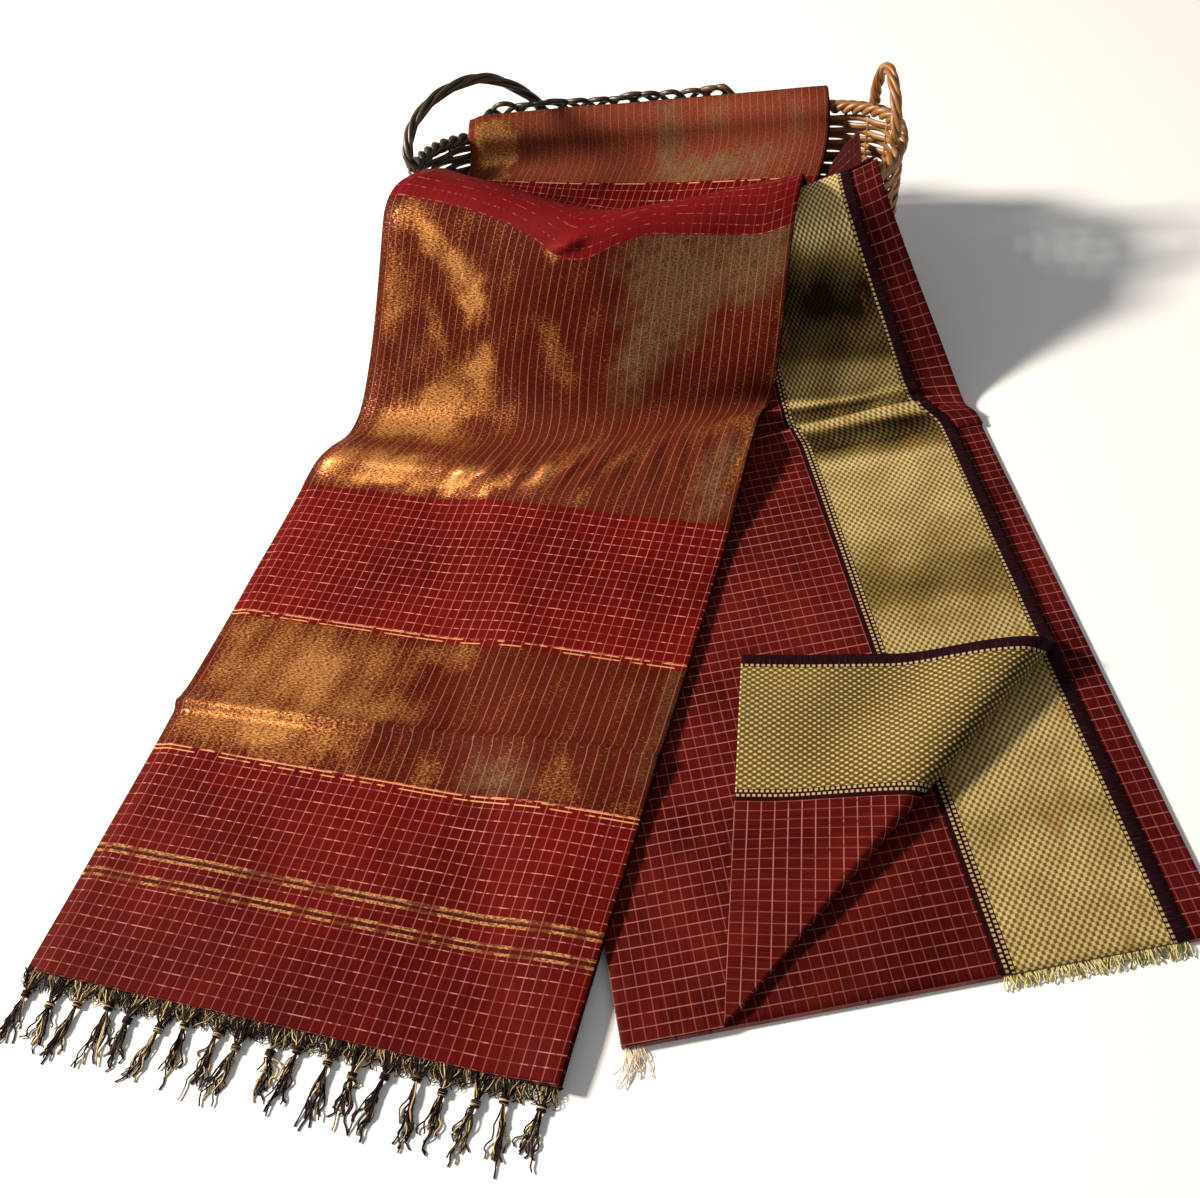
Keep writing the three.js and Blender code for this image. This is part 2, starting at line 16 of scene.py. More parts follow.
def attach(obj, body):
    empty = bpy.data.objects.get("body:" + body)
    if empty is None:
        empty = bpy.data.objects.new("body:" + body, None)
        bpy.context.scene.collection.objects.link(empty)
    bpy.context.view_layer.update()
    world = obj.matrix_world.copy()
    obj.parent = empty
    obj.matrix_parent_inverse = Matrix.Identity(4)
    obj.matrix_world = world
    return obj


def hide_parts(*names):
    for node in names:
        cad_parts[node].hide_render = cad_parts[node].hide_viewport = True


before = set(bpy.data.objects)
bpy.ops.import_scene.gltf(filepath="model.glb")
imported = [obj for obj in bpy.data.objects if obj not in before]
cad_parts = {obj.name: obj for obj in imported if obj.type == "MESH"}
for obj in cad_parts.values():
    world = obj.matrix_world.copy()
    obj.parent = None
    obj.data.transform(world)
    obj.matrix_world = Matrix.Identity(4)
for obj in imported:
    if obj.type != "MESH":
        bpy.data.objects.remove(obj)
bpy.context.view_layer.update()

# %% [markdown]
# ## Units, colours and meshes
# The tables below are in millimetres, measured from the floor point under the camera, as a
# surveyor would. One function moves them into the part's frame, so nothing is fitted by eye.
# Blender wants linear colour, while a colour picker gives sRGB, so one function converts.

# %% Units and colours
CENTRE = np.array([-34.3, 638.8, 0.0])  # mm, the part's origin as surveyed


def placed(points):
    """Survey millimetres to the part's metres: (point - centre) / 1000."""
    return (np.asarray(points, float) - CENTRE) * 0.001


def linear(hex_code):
    """sRGB hex to linear red, green, blue, alpha: ((c + 0.055) / 1.055) to the power 2.4."""
    c = np.array([int(hex_code[i:i + 2], 16) for i in (1, 3, 5)]) / 255
    c = np.where(c <= 0.04045, c / 12.92, ((c + 0.055) / 1.055) ** 2.4)
    return (*c.tolist(), 1.0)


def ease(f):
    """Smooth step from 0 to 1: 3 f squared minus 2 f cubed, held at its ends."""
    f = np.clip(f, 0, 1)
    return f * f * (3 - 2 * f)


def mix(a, b, f):
    """Straight mix of a and b: a + (b - a) f."""
    return a + (b - a) * f


def unit(v):
    """Vectors of length one: v / |v|."""
    return v / np.maximum(np.linalg.norm(v, axis=-1, keepdims=True), 1e-12)


def ripples(u, v, wavelength, seed, count=7):
    """Soft irregular waves between about -1 and 1: the mean of sines in random directions."""
    rng = np.random.default_rng(seed)
    total = np.zeros(np.broadcast(u, v).shape)
    for _ in range(count):
        turn, phase, size = rng.uniform(0, 2 * np.pi), rng.uniform(0, 2 * np.pi), rng.uniform(0.7, 1.4)
        k = 2 * np.pi / (wavelength * size)
        total += np.sin(k * (u * np.cos(turn) + v * np.sin(turn)) + phase)
    return total / math.sqrt(count) * 0.8


def make_piece(name, vertices, faces, material, replaces=(), uv=None, values=None):
    """Mesh from survey points, with a cloth UV map in metres and named point values, riding on the body."""
    mesh = bpy.data.meshes.new(name)
    mesh.from_pydata(placed(vertices).tolist(), [], faces)
    mesh.polygons.foreach_set("use_smooth", np.ones(len(mesh.polygons), bool))
    if uv is not None:
        corner = np.empty(len(mesh.loops), np.int32)
        mesh.loops.foreach_get("vertex_index", corner)
        layer = mesh.uv_layers.new(name="cloth")
        layer.data.foreach_set("uv", (uv[corner] * 0.001).astype(np.float32).ravel())
    for key, value in (values or {}).items():
        mesh.attributes.new(key, "FLOAT", "POINT").data.foreach_set("value", value.astype(np.float32).ravel())
    mesh.materials.append(material)
    mesh.update()
    piece = bpy.data.objects.new(name, mesh)
    bpy.context.scene.collection.objects.link(piece)
    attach(piece, "root")
    if replaces:
        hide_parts(*replaces)
    print(f"{name}: {len(mesh.vertices)} points, {sum(len(p.vertices) - 2 for p in mesh.polygons)} triangles")
    return piece


# %% [markdown]
# ## Cloth as a wrapped sheet
# Cloth could be a single sheet with Solidify on it. Here its folded edges matter, so each sheet
# is a closed ring of points for every row: over the upper face, round the right edge, back under
# the lower face and round the left edge. A single layer gets one rounded edge, and hidden
# layers get one small round for each fold, which is what the eye reads as folded cloth.

# %% Wrapped sheets
def normals_of(points):
    """Upward unit normals of a grid: the step across crossed with the step along."""
    along, across = np.gradient(points, axis=0), np.gradient(points, axis=1)
    return unit(np.cross(across, along))


def wrapped(points, top, bottom, folds, bulge):
    """Ring round a sheet: points minus normal times depth, with |sin| rounds at its two sides."""
    n = normals_of(points)
    upper, lower = points - n * top, points - n * bottom
    share = np.linspace(0, 1, folds * 4 + 1)[1:-1]
    out = bulge * np.abs(np.sin(np.pi * folds * share)) ** 0.6

    def side(edge, inner):
        """Points down one side: the straight drop plus the rounds, away from the sheet."""
        away = points[:, edge] - points[:, inner]
        away = unit(away - n[:, edge] * np.sum(away * n[:, edge], axis=-1, keepdims=True))
        drop = mix(upper[:, edge, None], lower[:, edge, None], share[None, :, None])
        return drop + away[:, None] * out[None, :, None]

    right, left = side(-1, -2), side(0, 1)
    return np.concatenate([upper, right, lower[:, ::-1], left[:, ::-1]], axis=1), len(share), share


def ring_quads(rows, size, start=0):
    """Quads between closed rings that follow each other, of the same size."""
    i, j = np.meshgrid(np.arange(rows - 1), np.arange(size), indexing="ij")
    k = (j + 1) % size
    corners = [i * size + j, i * size + k, (i + 1) * size + k, (i + 1) * size + j]
    return (np.stack(corners, axis=-1).reshape(-1, 4) + start).tolist()


def ring_faces(rows, columns, sides):
    """Quads round the rings, and at each end quads across with a small polygon at either side."""
    size = 2 * (columns + sides)
    faces = ring_quads(rows, size)
    for base, flip in ((0, 1), ((rows - 1) * size, -1)):
        under = [base + 2 * columns + sides - 1 - c for c in range(columns)]
        ends = [[base + c, under[c], under[c + 1], base + c + 1] for c in range(columns - 1)]
        ends.append([base + columns - 1, *range(under[-1], base + columns - 1, -1)])
        ends.append([base, *range(base + size - 1, under[0] - 1, -1)])
        faces += [f[::flip] for f in ends]
    return faces


def sheet_piece(name, points, u, v, material, replaces, bottom, top=0.0, folds=1, bulge=0.15,
                values=None):
    """A cloth piece from a grid of face points and its cloth coordinates u along and v across, in mm.
    Top and bottom are how deep its two faces lie under the points."""
    ring, sides, share = wrapped(points, top, bottom, folds, bulge)
    u = np.broadcast_to(u, points.shape[:2])
    v = np.broadcast_to(v, points.shape[:2])
    reach = (bottom - top) * 1.3 * share[None, :]

    def round_ring(value, right, left):
        """Values round the ring, in the order of its points."""
        return np.concatenate([value, right, value[:, ::-1], left[:, ::-1]], axis=1)

    zero = np.zeros_like(reach)
    ring_u = round_ring(u, u[:, -1:] + zero, u[:, :1] + zero)
    ring_v = round_ring(v, v[:, -1:] + reach, v[:, :1] - reach)
    uv = np.stack([ring_u, ring_v], axis=-1).reshape(-1, 2)
    ringed = {}
    for key, value in (values or {}).items():
        ringed[key] = round_ring(value, value[:, -1:] + zero, value[:, :1] + zero).ravel()
    faces = ring_faces(points.shape[0], points.shape[1], sides)
    return make_piece(name, ring.reshape(-1, 3), faces, material, replaces, uv, ringed)


# %% [markdown]
# ## Nodes
# A material is a small tree of nodes. One function adds a node, sets it up and links it, so the
# functions that follow can read like a weaver's notes instead of a wiring list.

# %% One function for a node
def add(tree, kind, inputs=None, out=0, **settings):
    """Add a shader node, set its settings, link or fill its inputs, and give back one output."""
    new = tree.nodes.new("ShaderNode" + kind)
    for key, value in settings.items():
        setattr(new, key, value)
    for key, value in (inputs or {}).items():
        if isinstance(value, bpy.types.NodeSocket):
            tree.links.new(value, new.inputs[key])
        else:
            new.inputs[key].default_value = value
    return new.outputs[out]


def start_material(name, roughness, **fixed):
    """A new material with its Principled shader, whose uniform values sit on its own sockets."""
    material = bpy.data.materials.new(name)
    material.use_nodes = True
    shader = material.node_tree.nodes["Principled BSDF"]
    shader.inputs["Roughness"].default_value = roughness
    for key, value in fixed.items():
        shader.inputs[key.replace("_", " ")].default_value = value
    return material, material.node_tree, shader


# %% [markdown]
# ## The weave
# The cloth is handloom silk, plain woven. Pale copper threads in the warp and the weft draw a
# small check on deep red. They could be an image, but a formula stays sharp and keeps its real
# size: a line is where the distance to the nearest multiple of the spacing is small. The weft
# lines float in and out of the cloth, so they are dashes. In the decorated end the weft is gold
# thread: it glitters where a fold faces the light and is nearly maroon elsewhere.

# %% Thread patterns
CHECK_ALONG = 6.97   # mm between the weft lines
CHECK_ACROSS = 5.97  # mm between the warp lines
LINE = 0.55          # mm: two threads together, drawn a little coarse so that they show
FLOAT_ALONG = 4.8    # mm between the border's gold floats along the cloth
FLOAT_ACROSS = 3.7   # mm between them across it


def cloth_place(tree):
    """The cloth's own coordinates in mm, along the warp and across it: the UV map times 1000."""
    spread = add(tree, "SeparateXYZ", {0: add(tree, "UVMap", uv_map="cloth")}).node
    return [add(tree, "Math", {0: spread.outputs[i], 1: 1000.0}, operation="MULTIPLY") for i in (0, 1)]


def remap(tree, value, low, high, to_low=0.0, to_high=1.0, **settings):
    """A value's share of the way from low to high, held at its ends."""
    return add(tree, "MapRange", {0: value, 1: low, 2: high, 3: to_low, 4: to_high}, **settings)


def point_value(tree, name):
    """A named value of the mesh's points."""
    return add(tree, "Attribute", {}, out=2, attribute_name=name)


def thread_lines(tree, place, pitch, width):
    """1 on a line at each multiple of the pitch, else 0: the distance to it is pingpong(x / pitch)."""
    cells = add(tree, "Math", {0: place, 1: pitch}, operation="DIVIDE")
    near = add(tree, "Math", {0: cells, 1: 0.5}, operation="PINGPONG")
    half = width / pitch / 2
    return remap(tree, near, half * 0.6, half * 1.4, 1.0, 0.0, interpolation_type="SMOOTHSTEP")


def streaks(tree, u, v, along, across, detail=2.0, seed=0.0):
    """Noise whose grains are so many mm along the warp and across it."""
    x = add(tree, "Math", {0: u, 1: 1 / along}, operation="MULTIPLY")
    y = add(tree, "Math", {0: v, 1: 1 / across}, operation="MULTIPLY")
    at = add(tree, "CombineXYZ", {0: x, 1: y, 2: seed})
    return add(tree, "TexNoise", {"Vector": at, "Scale": 1.0, "Detail": detail, "Roughness": 0.55})


def dashes(tree, u, v, pitch, length, breaks, seed=0.0):
    """1 along each weft line where a slow noise of its own is over breaks: broken floats of thread."""
    cells = add(tree, "Math", {0: u, 1: pitch}, operation="DIVIDE")
    line = add(tree, "Math", {0: cells}, operation="ROUND")
    y = add(tree, "Math", {0: line, 1: 7.31}, operation="MULTIPLY")
    x = add(tree, "Math", {0: v, 1: 1 / length}, operation="MULTIPLY")
    at = add(tree, "CombineXYZ", {0: x, 1: y, 2: seed})
    noise = add(tree, "TexNoise", {"Vector": at, "Scale": 1.0, "Detail": 1.0})
    return remap(tree, noise, breaks - 0.03, breaks + 0.03)


def within(tree, place, low, high):
    """1 where the place lies between low and high."""
    return add(tree, "Math", {0: place, 1: (low + high) / 2, 2: (high - low) / 2}, operation="COMPARE")


def times(tree, *factors):
    """The product of several masks."""
    product = factors[0]
    for factor in factors[1:]:
        product = add(tree, "Math", {0: product, 1: factor}, operation="MULTIPLY")
    return product


def larger(tree, *masks):
    """The largest of several masks."""
    most = masks[0]
    for mask in masks[1:]:
        most = add(tree, "Math", {0: most, 1: mask}, operation="MAXIMUM")
    return most


def blend(tree, below, above, mask):
    """One colour laid over another where the mask is 1. Either may be an sRGB hex."""
    below, above = [linear(colour) if isinstance(colour, str) else colour for colour in (below, above)]
    return add(tree, "Mix", {0: mask, 6: below, 7: above}, out=2, data_type="RGBA")


# %% The checked ground
def checked_ground(tree, u, v, reds, lines, breaks, end_shade):
    """Deep red silk with its check: the colour, and the mask of its lines for the relief.
    Towards its cut end the silk is darkened, a painted shade: the last argument gives how far in mm, and by
    what share."""
    slub = streaks(tree, u, v, 26, 0.8)
    cloudy = streaks(tree, u, v, 70, 55, seed=3.0)
    tone = add(tree, "Math", {0: slub, 1: cloudy}, operation="ADD")
    colour = blend(tree, reds[0], reds[1], remap(tree, tone, 0.7, 1.35))
    # Painted highlight: the red is lightened where the dip faces the light.
    colour = blend(tree, colour, "#74141A", times(tree, point_value(tree, "lit_and_plain"), 0.55))
    warp_fade = remap(tree, streaks(tree, u, v, 28, 2.0, seed=5.0), 0.3, 0.7, 0.4, 1.0)
    weft_fade = remap(tree, streaks(tree, u, v, 2.0, 24, seed=6.0), 0.3, 0.6, 0.35, 1.0)
    warp = times(tree, thread_lines(tree, v, CHECK_ACROSS, LINE), warp_fade)
    weft_line = thread_lines(tree, u, CHECK_ALONG, LINE)
    floats = dashes(tree, u, v, CHECK_ALONG, 4.0, breaks)
    clear = remap(tree, point_value(tree, "lit_and_plain"), 0.0, 1.0, 1.0, 0.0)
    warp = times(tree, warp, clear)
    floats = times(tree, floats, remap(tree, clear, 0, 1, 0.35, 1.0))
    weft = times(tree, weft_line, weft_fade, larger(tree, floats, times(tree, clear, 0.22)))
    colour = blend(tree, colour, lines[0], warp)
    colour = blend(tree, colour, lines[1], weft)
    # Painted shade: the ground darkens towards its cut end, where less light falls.
    reach, share = end_shade
    colour = blend(tree, colour, "#220302", remap(tree, u, 20.0, reach, share, 0.0))
    return colour, larger(tree, warp, weft), slub


# %% [markdown]
# Where the weft is gold thread, point values decide what shows. The one named catch says how
# well the place faces the light, and a fine grain as wide as a few threads breaks it into
# specks. Grey dulls the gold to the sheen that it has at a low angle. A painted sheen of warm
# light lifts the maroon between. A last value, read by the ground, hides the check where the
# cloth is stretched smooth and paints the red there lighter, a painted highlight.

# %% The gold tissue
def tissue(tree, u, v, colour, zones, edges):
    """Gold weft over the ground in zones along the cloth: specks where catch + grain is high."""
    zone = larger(tree, *[within(tree, u, low, high) for low, high in zones])
    grain = streaks(tree, u, v, 0.75, 2.3, detail=2.0, seed=9.0)
    shimmer = streaks(tree, u, v, 1.1, 1.7, detail=2.0, seed=10.0)
    lit = add(tree, "Math", {0: grain, 1: 2.2, 2: -1.1}, operation="MULTIPLY_ADD")
    lit = add(tree, "Math", {0: point_value(tree, "catch"), 1: 0.6, 2: lit}, operation="MULTIPLY_ADD")
    glitter = remap(tree, lit, 0.2, 0.75)
    dark = blend(tree, "#2E0703", "#541507", streaks(tree, u, v, 40, 2.5, seed=8.0))
    # Painted sheen: the maroon between the gold is lifted towards a warm brown.
    warm_light = times(tree, point_value(tree, "warm_light"), remap(tree, shimmer, 0.3, 0.6, 0.4, 1.0))
    dark = blend(tree, dark, "#8A4430", warm_light)
    dull = times(tree, point_value(tree, "grey"), remap(tree, shimmer, 0.36, 0.62, 0.1, 0.95))
    dark = blend(tree, dark, "#6B563A", dull)
    gold = blend(tree, "#602B0E", "#AC6C3A", remap(tree, shimmer, 0.36, 0.63))
    gold = blend(tree, gold, "#DC9C5A", remap(tree, lit, 0.6, 1.0, 0.0, 0.8))
    warp_fade = remap(tree, streaks(tree, u, v, 28, 2.0, seed=5.0), 0.3, 0.7, 0.35, 0.9)
    warp = times(tree, thread_lines(tree, v, CHECK_ACROSS, LINE), warp_fade)
    woven = blend(tree, dark, "#9A604E", warp)
    woven = blend(tree, woven, gold, glitter)
    colour = blend(tree, colour, woven, zone)
    for place in edges:
        line = within(tree, u, place - 0.4, place + 0.4)
        line = times(tree, line, dashes(tree, u, v, 2.8, 9.0, 0.45, place))
        colour = blend(tree, colour, "#C98F5C", line)
    return colour, times(tree, zone, glitter)


def gold_stripes(tree, u, v, colour, places):
    """Pairs of broken gold lines across the cloth, with brown between the two of a pair."""
    near, far = 1.1, 2.9
    for place in places:
        before = within(tree, u, place - far, place - near)
        pair = larger(tree, before, within(tree, u, place + near, place + far))
        between = within(tree, u, place - far, place + far)
        long = dashes(tree, u, v, 15.0, 13.0, 0.48, place)
        grain = remap(tree, streaks(tree, u, v, 1.1, 1.9, seed=place), 0.4, 0.6, 0.15, 1.0)
        brown = times(tree, between, remap(tree, long, 0, 1, 0.2, 0.6))
        colour = blend(tree, colour, "#2C170A", brown)
        gold = times(tree, pair, remap(tree, long, 0, 1, 0.18, 0.95), grain)
        colour = blend(tree, colour, "#BC8450", gold)
    return colour


# %% [markdown]
# The border is woven with gold thread in a small brick pattern: short gold floats, each row
# shifted by half, with dark gaps between. Two cosine waves that cross give such lozenges. A
# pale chain of dots runs along its inner edge and a dark selvage finishes the cloth. The point
# value tone carries the bands of sheen, and turned marks the wrong side, where the floats are
# smaller.

# %% The border
def gold_border(tree, u, v, colour, border):
    """Chain, gold field and selvage across v, as (inner, outer, end) in mm: a lozenge is where
    cos(a) cos(b) is high, a and b being the phases along and across."""
    inner, outer, end = border
    tone, turned = point_value(tree, "tone"), point_value(tree, "turned")
    a = add(tree, "Math", {0: u, 1: 2 * math.pi / FLOAT_ALONG}, operation="MULTIPLY")
    b = add(tree, "Math", {0: v, 1: 2 * math.pi / FLOAT_ACROSS}, operation="MULTIPLY")
    weave = times(tree, *[add(tree, "Math", {0: x}, operation="COSINE") for x in (a, b)])
    weave = add(tree, "Math", {0: turned, 1: -0.2, 2: weave}, operation="MULTIPLY_ADD")
    floats = remap(tree, weave, -0.45, 0.6, interpolation_type="SMOOTHSTEP")
    threads = streaks(tree, u, v, 0.8, 9.0, seed=12.0)
    copper = remap(tree, streaks(tree, u, v, 34, 14, seed=14.0), 0.55, 0.72, 0.0, 0.6)
    gold = blend(tree, "#281C08", "#9C8850", remap(tree, tone, 0.0, 0.5))
    gold = blend(tree, gold, "#FAE6A2", remap(tree, tone, 0.45, 0.95))
    gold = blend(tree, gold, "#A86F38", copper)
    gold = blend(tree, gold, "#DAD6A0", times(tree, turned, remap(tree, weave, 0.2, 0.6, 0.0, 0.55)))
    gold = blend(tree, gold, "#FFF0C4", times(tree, tone, remap(tree, threads, 0.55, 0.75, 0.0, 0.5)))
    gap = blend(tree, "#160D03", "#7E5E2A", remap(tree, tone, 0.1, 1.0))
    field = blend(tree, gap, gold, floats)
    zone = within(tree, v, inner, outer)
    colour = blend(tree, colour, "#22070C", within(tree, v, inner - 7.5, inner))
    colour = blend(tree, colour, field, zone)
    half_along = add(tree, "Math", {0: u, 1: 1.4}, operation="ADD")
    for place, along, pitch in ((inner - 1.1, u, 2.8), (inner - 3.9, half_along, 2.8), (outer - 0.8, u, 3.1)):
        dots = thread_lines(tree, along, pitch, pitch * 0.55)
        dots = times(tree, dots, within(tree, v, place - 0.8, place + 0.8))
        colour = blend(tree, colour, "#241009", within(tree, v, place - 1.3, place + 1.3))
        colour = blend(tree, colour, "#B39A6E", dots)
    selvage = within(tree, v, outer, end)
    marks = times(tree, thread_lines(tree, u, 3.2, 0.5), remap(tree, threads, 0.5, 0.7, 0.0, 0.5))
    weft_tint = blend(tree, "#14080A", "#260E13", remap(tree, threads, 0.35, 0.65))
    colour = blend(tree, colour, blend(tree, weft_tint, "#5E3638", marks), selvage)
    return colour, times(tree, zone, floats, remap(tree, tone, 0.2, 0.9))


# %% The silk
def silk(name, reds, lines, breaks=0.36, end_shade=(150.0, 0.0), zones=(), edges=(), stripes=(), border=None):
    """Silk by cloth place: the checked ground, then gold tissue, stripes and border where it has them."""
    material, tree, shader = start_material(name, 0.6, Specular_IOR_Level=0.03)
    u, v = cloth_place(tree)
    colour, check, slub = checked_ground(tree, u, v, reds, lines, breaks, end_shade)
    shine = None
    if zones:
        colour, shine = tissue(tree, u, v, colour, zones, edges)
    if stripes:
        colour = gold_stripes(tree, u, v, colour, stripes)
    if border:
        colour, shine = gold_border(tree, u, v, colour, border)
    tree.links.new(colour, shader.inputs["Base Color"])
    if shine:
        tree.links.new(remap(tree, shine, 0, 1, 0.0, 0.5), shader.inputs["Metallic"])
        tree.links.new(remap(tree, shine, 0, 1, 0.55, 0.38), shader.inputs["Roughness"])
    relief = add(tree, "Math", {0: check, 1: 0.5, 2: slub}, operation="MULTIPLY_ADD")
    bump = add(tree, "Bump", {"Height": relief, "Strength": 0.25, "Distance": 0.0003})
    tree.links.new(bump, shader.inputs["Normal"])
    return material


# %% [markdown]
# ## The decorated end
# This stretch lies on the floor, humps up, rises to the basket's rim, dips into the basket and
# ends in a fold on the far rim. It could be a cloth simulation, but the photo's folds are particular,
# so the face is steered by a table: a row of five points for each place where the cloth turns. A
# quadratic curve that runs straight between the midpoints and bends at each point smooths them.

# %% Sizes of the cloth and places on the floor
WIDTH = 290.0        # the 1160 mm cloth folded lengthwise in four
LAYER, GAP, HIDDEN = 1.1, 0.3, 2.3
BODY_SECOND = HIDDEN + GAP
BODY_TOP = BODY_SECOND + LAYER + GAP
BODY_HIGH = BODY_TOP + LAYER
PALLU_HIGH = HIDDEN + GAP + LAYER
PALLU = {"corner": (-322.7, 418.7), "turn": 23.3}
BODY = {"corner": (-26.5, 319.7), "turn": -0.8}
CREASE_AT, GOLD_AT, FOOT_AT = 178.0, 360.0, 370.0
CLOTH = 0.5          # mm, the real cloth with its gold thread


def leg_point(leg, along, across, high):
    """A floor place from its distances: corner + along (sin t, cos t) + across (cos t, -sin t)."""
    t = math.radians(leg["turn"])
    along, across, high = np.broadcast_arrays(np.asarray(along, float), across, high)
    x = leg["corner"][0] + along * math.sin(t) + across * math.cos(t)
    y = leg["corner"][1] + along * math.cos(t) - across * math.sin(t)
    return np.stack([x, y, high], axis=-1)


def steered(points, f):
    """Quadratic curve steered by points along axis 0, at each f:
    (1-g)^2 first + 2g(1-g) middle + g^2 last."""
    points = np.asarray(points, float)
    spans = len(points) - 2
    at = np.clip(f, 0, spans - 1e-9)
    k = at.astype(int)
    g = (at - k).reshape(-1, *[1] * (points.ndim - 1))
    middle = points[k + 1]
    start = (k == 0).reshape(g.shape)
    stop = (k == spans - 1).reshape(g.shape)
    first = np.where(start, points[0], (points[k] + middle) / 2)
    last = np.where(stop, points[-1], (middle + points[k + 2]) / 2)
    return (1 - g) ** 2 * first + 2 * g * (1 - g) * middle + g ** 2 * last


def face_of(table, rows, across):
    """Grid of face points: each row of the table is steered across, then the rows are steered along."""
    spread = steered(table.transpose(1, 0, 2), np.asarray(across) * (table.shape[1] - 2))
    return steered(spread.transpose(1, 0, 2), np.asarray(rows))


def share_across(shares, columns):
    """Each column's share of the width, by the same curve as the face, as one row."""
    return steered(np.array(shares)[:, None], columns * (len(shares) - 2))[:, 0][None, :]


def lift_over(x, y):
    """The floor cloth rises over the body leg: one layer stack times a smooth step across its edge."""
    t = math.radians(BODY["turn"])
    across = (x - BODY["corner"][0]) * math.cos(t) - (y - BODY["corner"][1]) * math.sin(t)
    return (BODY_HIGH + 3 * GAP) * ease((across + 66) / 50)


# %% The basket's outline
BASKET = {"x": 88.0, "y": 901.0, "turn": 10.0, "half": 165.0, "depth": 75.0, "power": 2.3,
          "low": 88.0, "rise": 20.0, "rim": 5.0, "taper": 12.0, "floor": 4.0}


def on_basket(along, back):
    """Place on the basket from its centre, along its long axis and back across it."""
    t = math.radians(BASKET["turn"])
    x = BASKET["x"] + along * math.cos(t) + back * math.sin(t)
    return x, BASKET["y"] - along * math.sin(t) + back * math.cos(t)


def rim_height(along):
    """The rim rises to its ends: low + rise (along / half)^2."""
    return BASKET["low"] + BASKET["rise"] * (along / BASKET["half"]) ** 2


def over_rim(along, side, out, up):
    """Points near the rim on its front (-1) or back (1) side, moved out and up from its middle."""
    along = np.asarray(along, float)
    reach = BASKET["half"] + max(out, 0)
    back = (BASKET["depth"] + out) * (1 - np.abs(along / reach) ** BASKET["power"]) ** (1 / BASKET["power"])
    x, y = on_basket(along, side * back)
    return np.stack([x, y, rim_height(along) + up], axis=-1).tolist()


# %% Rows of the decorated end
ACROSS = [0, 0.27, 0.52, 0.70, 1]
BACK_ALONG = [-132, -72, -4, 46, 120]


def floor_row(along, high):
    """Five points straight across the leg on the floor."""
    return leg_point(PALLU, along, np.array(ACROSS) * (WIDTH - 1), high).tolist()


PALLU_ROWS = {
    "fringe end": floor_row(0, PALLU_HIGH),
    "middle": floor_row(90, PALLU_HIGH),
    "before crease": floor_row(CREASE_AT - 14, PALLU_HIGH),
    "crease": floor_row(CREASE_AT, PALLU_HIGH + 4),
    "past crease": floor_row(CREASE_AT + 14, PALLU_HIGH),
    "red checks": floor_row(270, PALLU_HIGH),
    "gold begins": floor_row(GOLD_AT - 6, PALLU_HIGH),
    "hump foot": floor_row(GOLD_AT + 5, PALLU_HIGH + 2),
    "hump": [[-162, 765, 19], [-90, 732, 20], [-22, 706, 25], [31, 704, 26], [119, 716, 26]],
    "valley": [[-144, 797, 3], [-72, 772, 3], [-6, 747, 8], [45, 739, 10], [130, 736, 11]],
    "low fall": [[-126, 828, 34], [-60, 806, 36], [1, 776, 40], [58, 766, 43], [138, 740, 41]],
    "high fall": [[-105, 864, 93], [-37, 836, 93], [20, 801, 83], [75, 797, 91], [158, 790, 97]],
    "crest": [[-93, 891, 125], [-22, 854, 121], [33, 815, 114], [83, 812, 118], [168, 807, 124]],
    "lip": [[-66, 917, 121], [-12, 876, 119], [42, 838, 112], [92, 834, 116], [175, 828, 122]],
    "inner slope": [[-57, 938, 103], [2, 906, 86], [58, 875, 74], [104, 870, 73], [184, 860, 90]],
    "dip": [[-50, 943, 88], [12, 926, 68], [68, 912, 58], [114, 905, 56], [192, 888, 66]],
    "gold again": [[-48, 944, 86], [15, 944, 70], [78, 936, 62], [121, 925, 60], [200, 902, 62]],
    "back slope": over_rim(BACK_ALONG, 1, -18, -16),
    "back crest": over_rim(BACK_ALONG, 1, -12, 12),
    "back fold": over_rim(BACK_ALONG, 1, 9, 11.5),
}
PALLU_TABLE = np.array(list(PALLU_ROWS.values()), float)


def pallu_row(name):
    """A row's place along the face: the cloth comes nearest to its points there."""
    return list(PALLU_ROWS).index(name) - 0.5


def pallu_face(rows, across):
    """The decorated end's face, lifted where it lies over the other stretch."""
    points = face_of(PALLU_TABLE, rows, across)
    resting = ease(pallu_row("hump") - np.asarray(rows))[:, None]
    points[..., 2] += resting * lift_over(points[..., 0], points[..., 1])
    return points


def lengths_along(points):
    """Mean distance of each row from the first, along the cloth."""
    steps = np.linalg.norm(np.diff(points, axis=0), axis=-1).mean(axis=1)
    return np.concatenate([[0], np.cumsum(steps)])


fine = np.linspace(0, len(PALLU_TABLE) - 2, 1500)
fine_u = lengths_along(pallu_face(fine, np.linspace(0, 1, 9)))


def pallu_u(name, past=0.0):
    """Distance along the cloth, from its fringe end, of a row of the table."""
    return float(np.interp(pallu_row(name) + past, fine, fine_u))


CREST_AT, GOLD_AGAIN = pallu_u("crest", 0.05), pallu_u("gold again", 0.1)
PALLU_LONG = float(fine_u[-1])
print(f"decorated end: {PALLU_LONG:.0f} mm, crest at {CREST_AT:.0f}, gold again at {GOLD_AGAIN:.0f}")
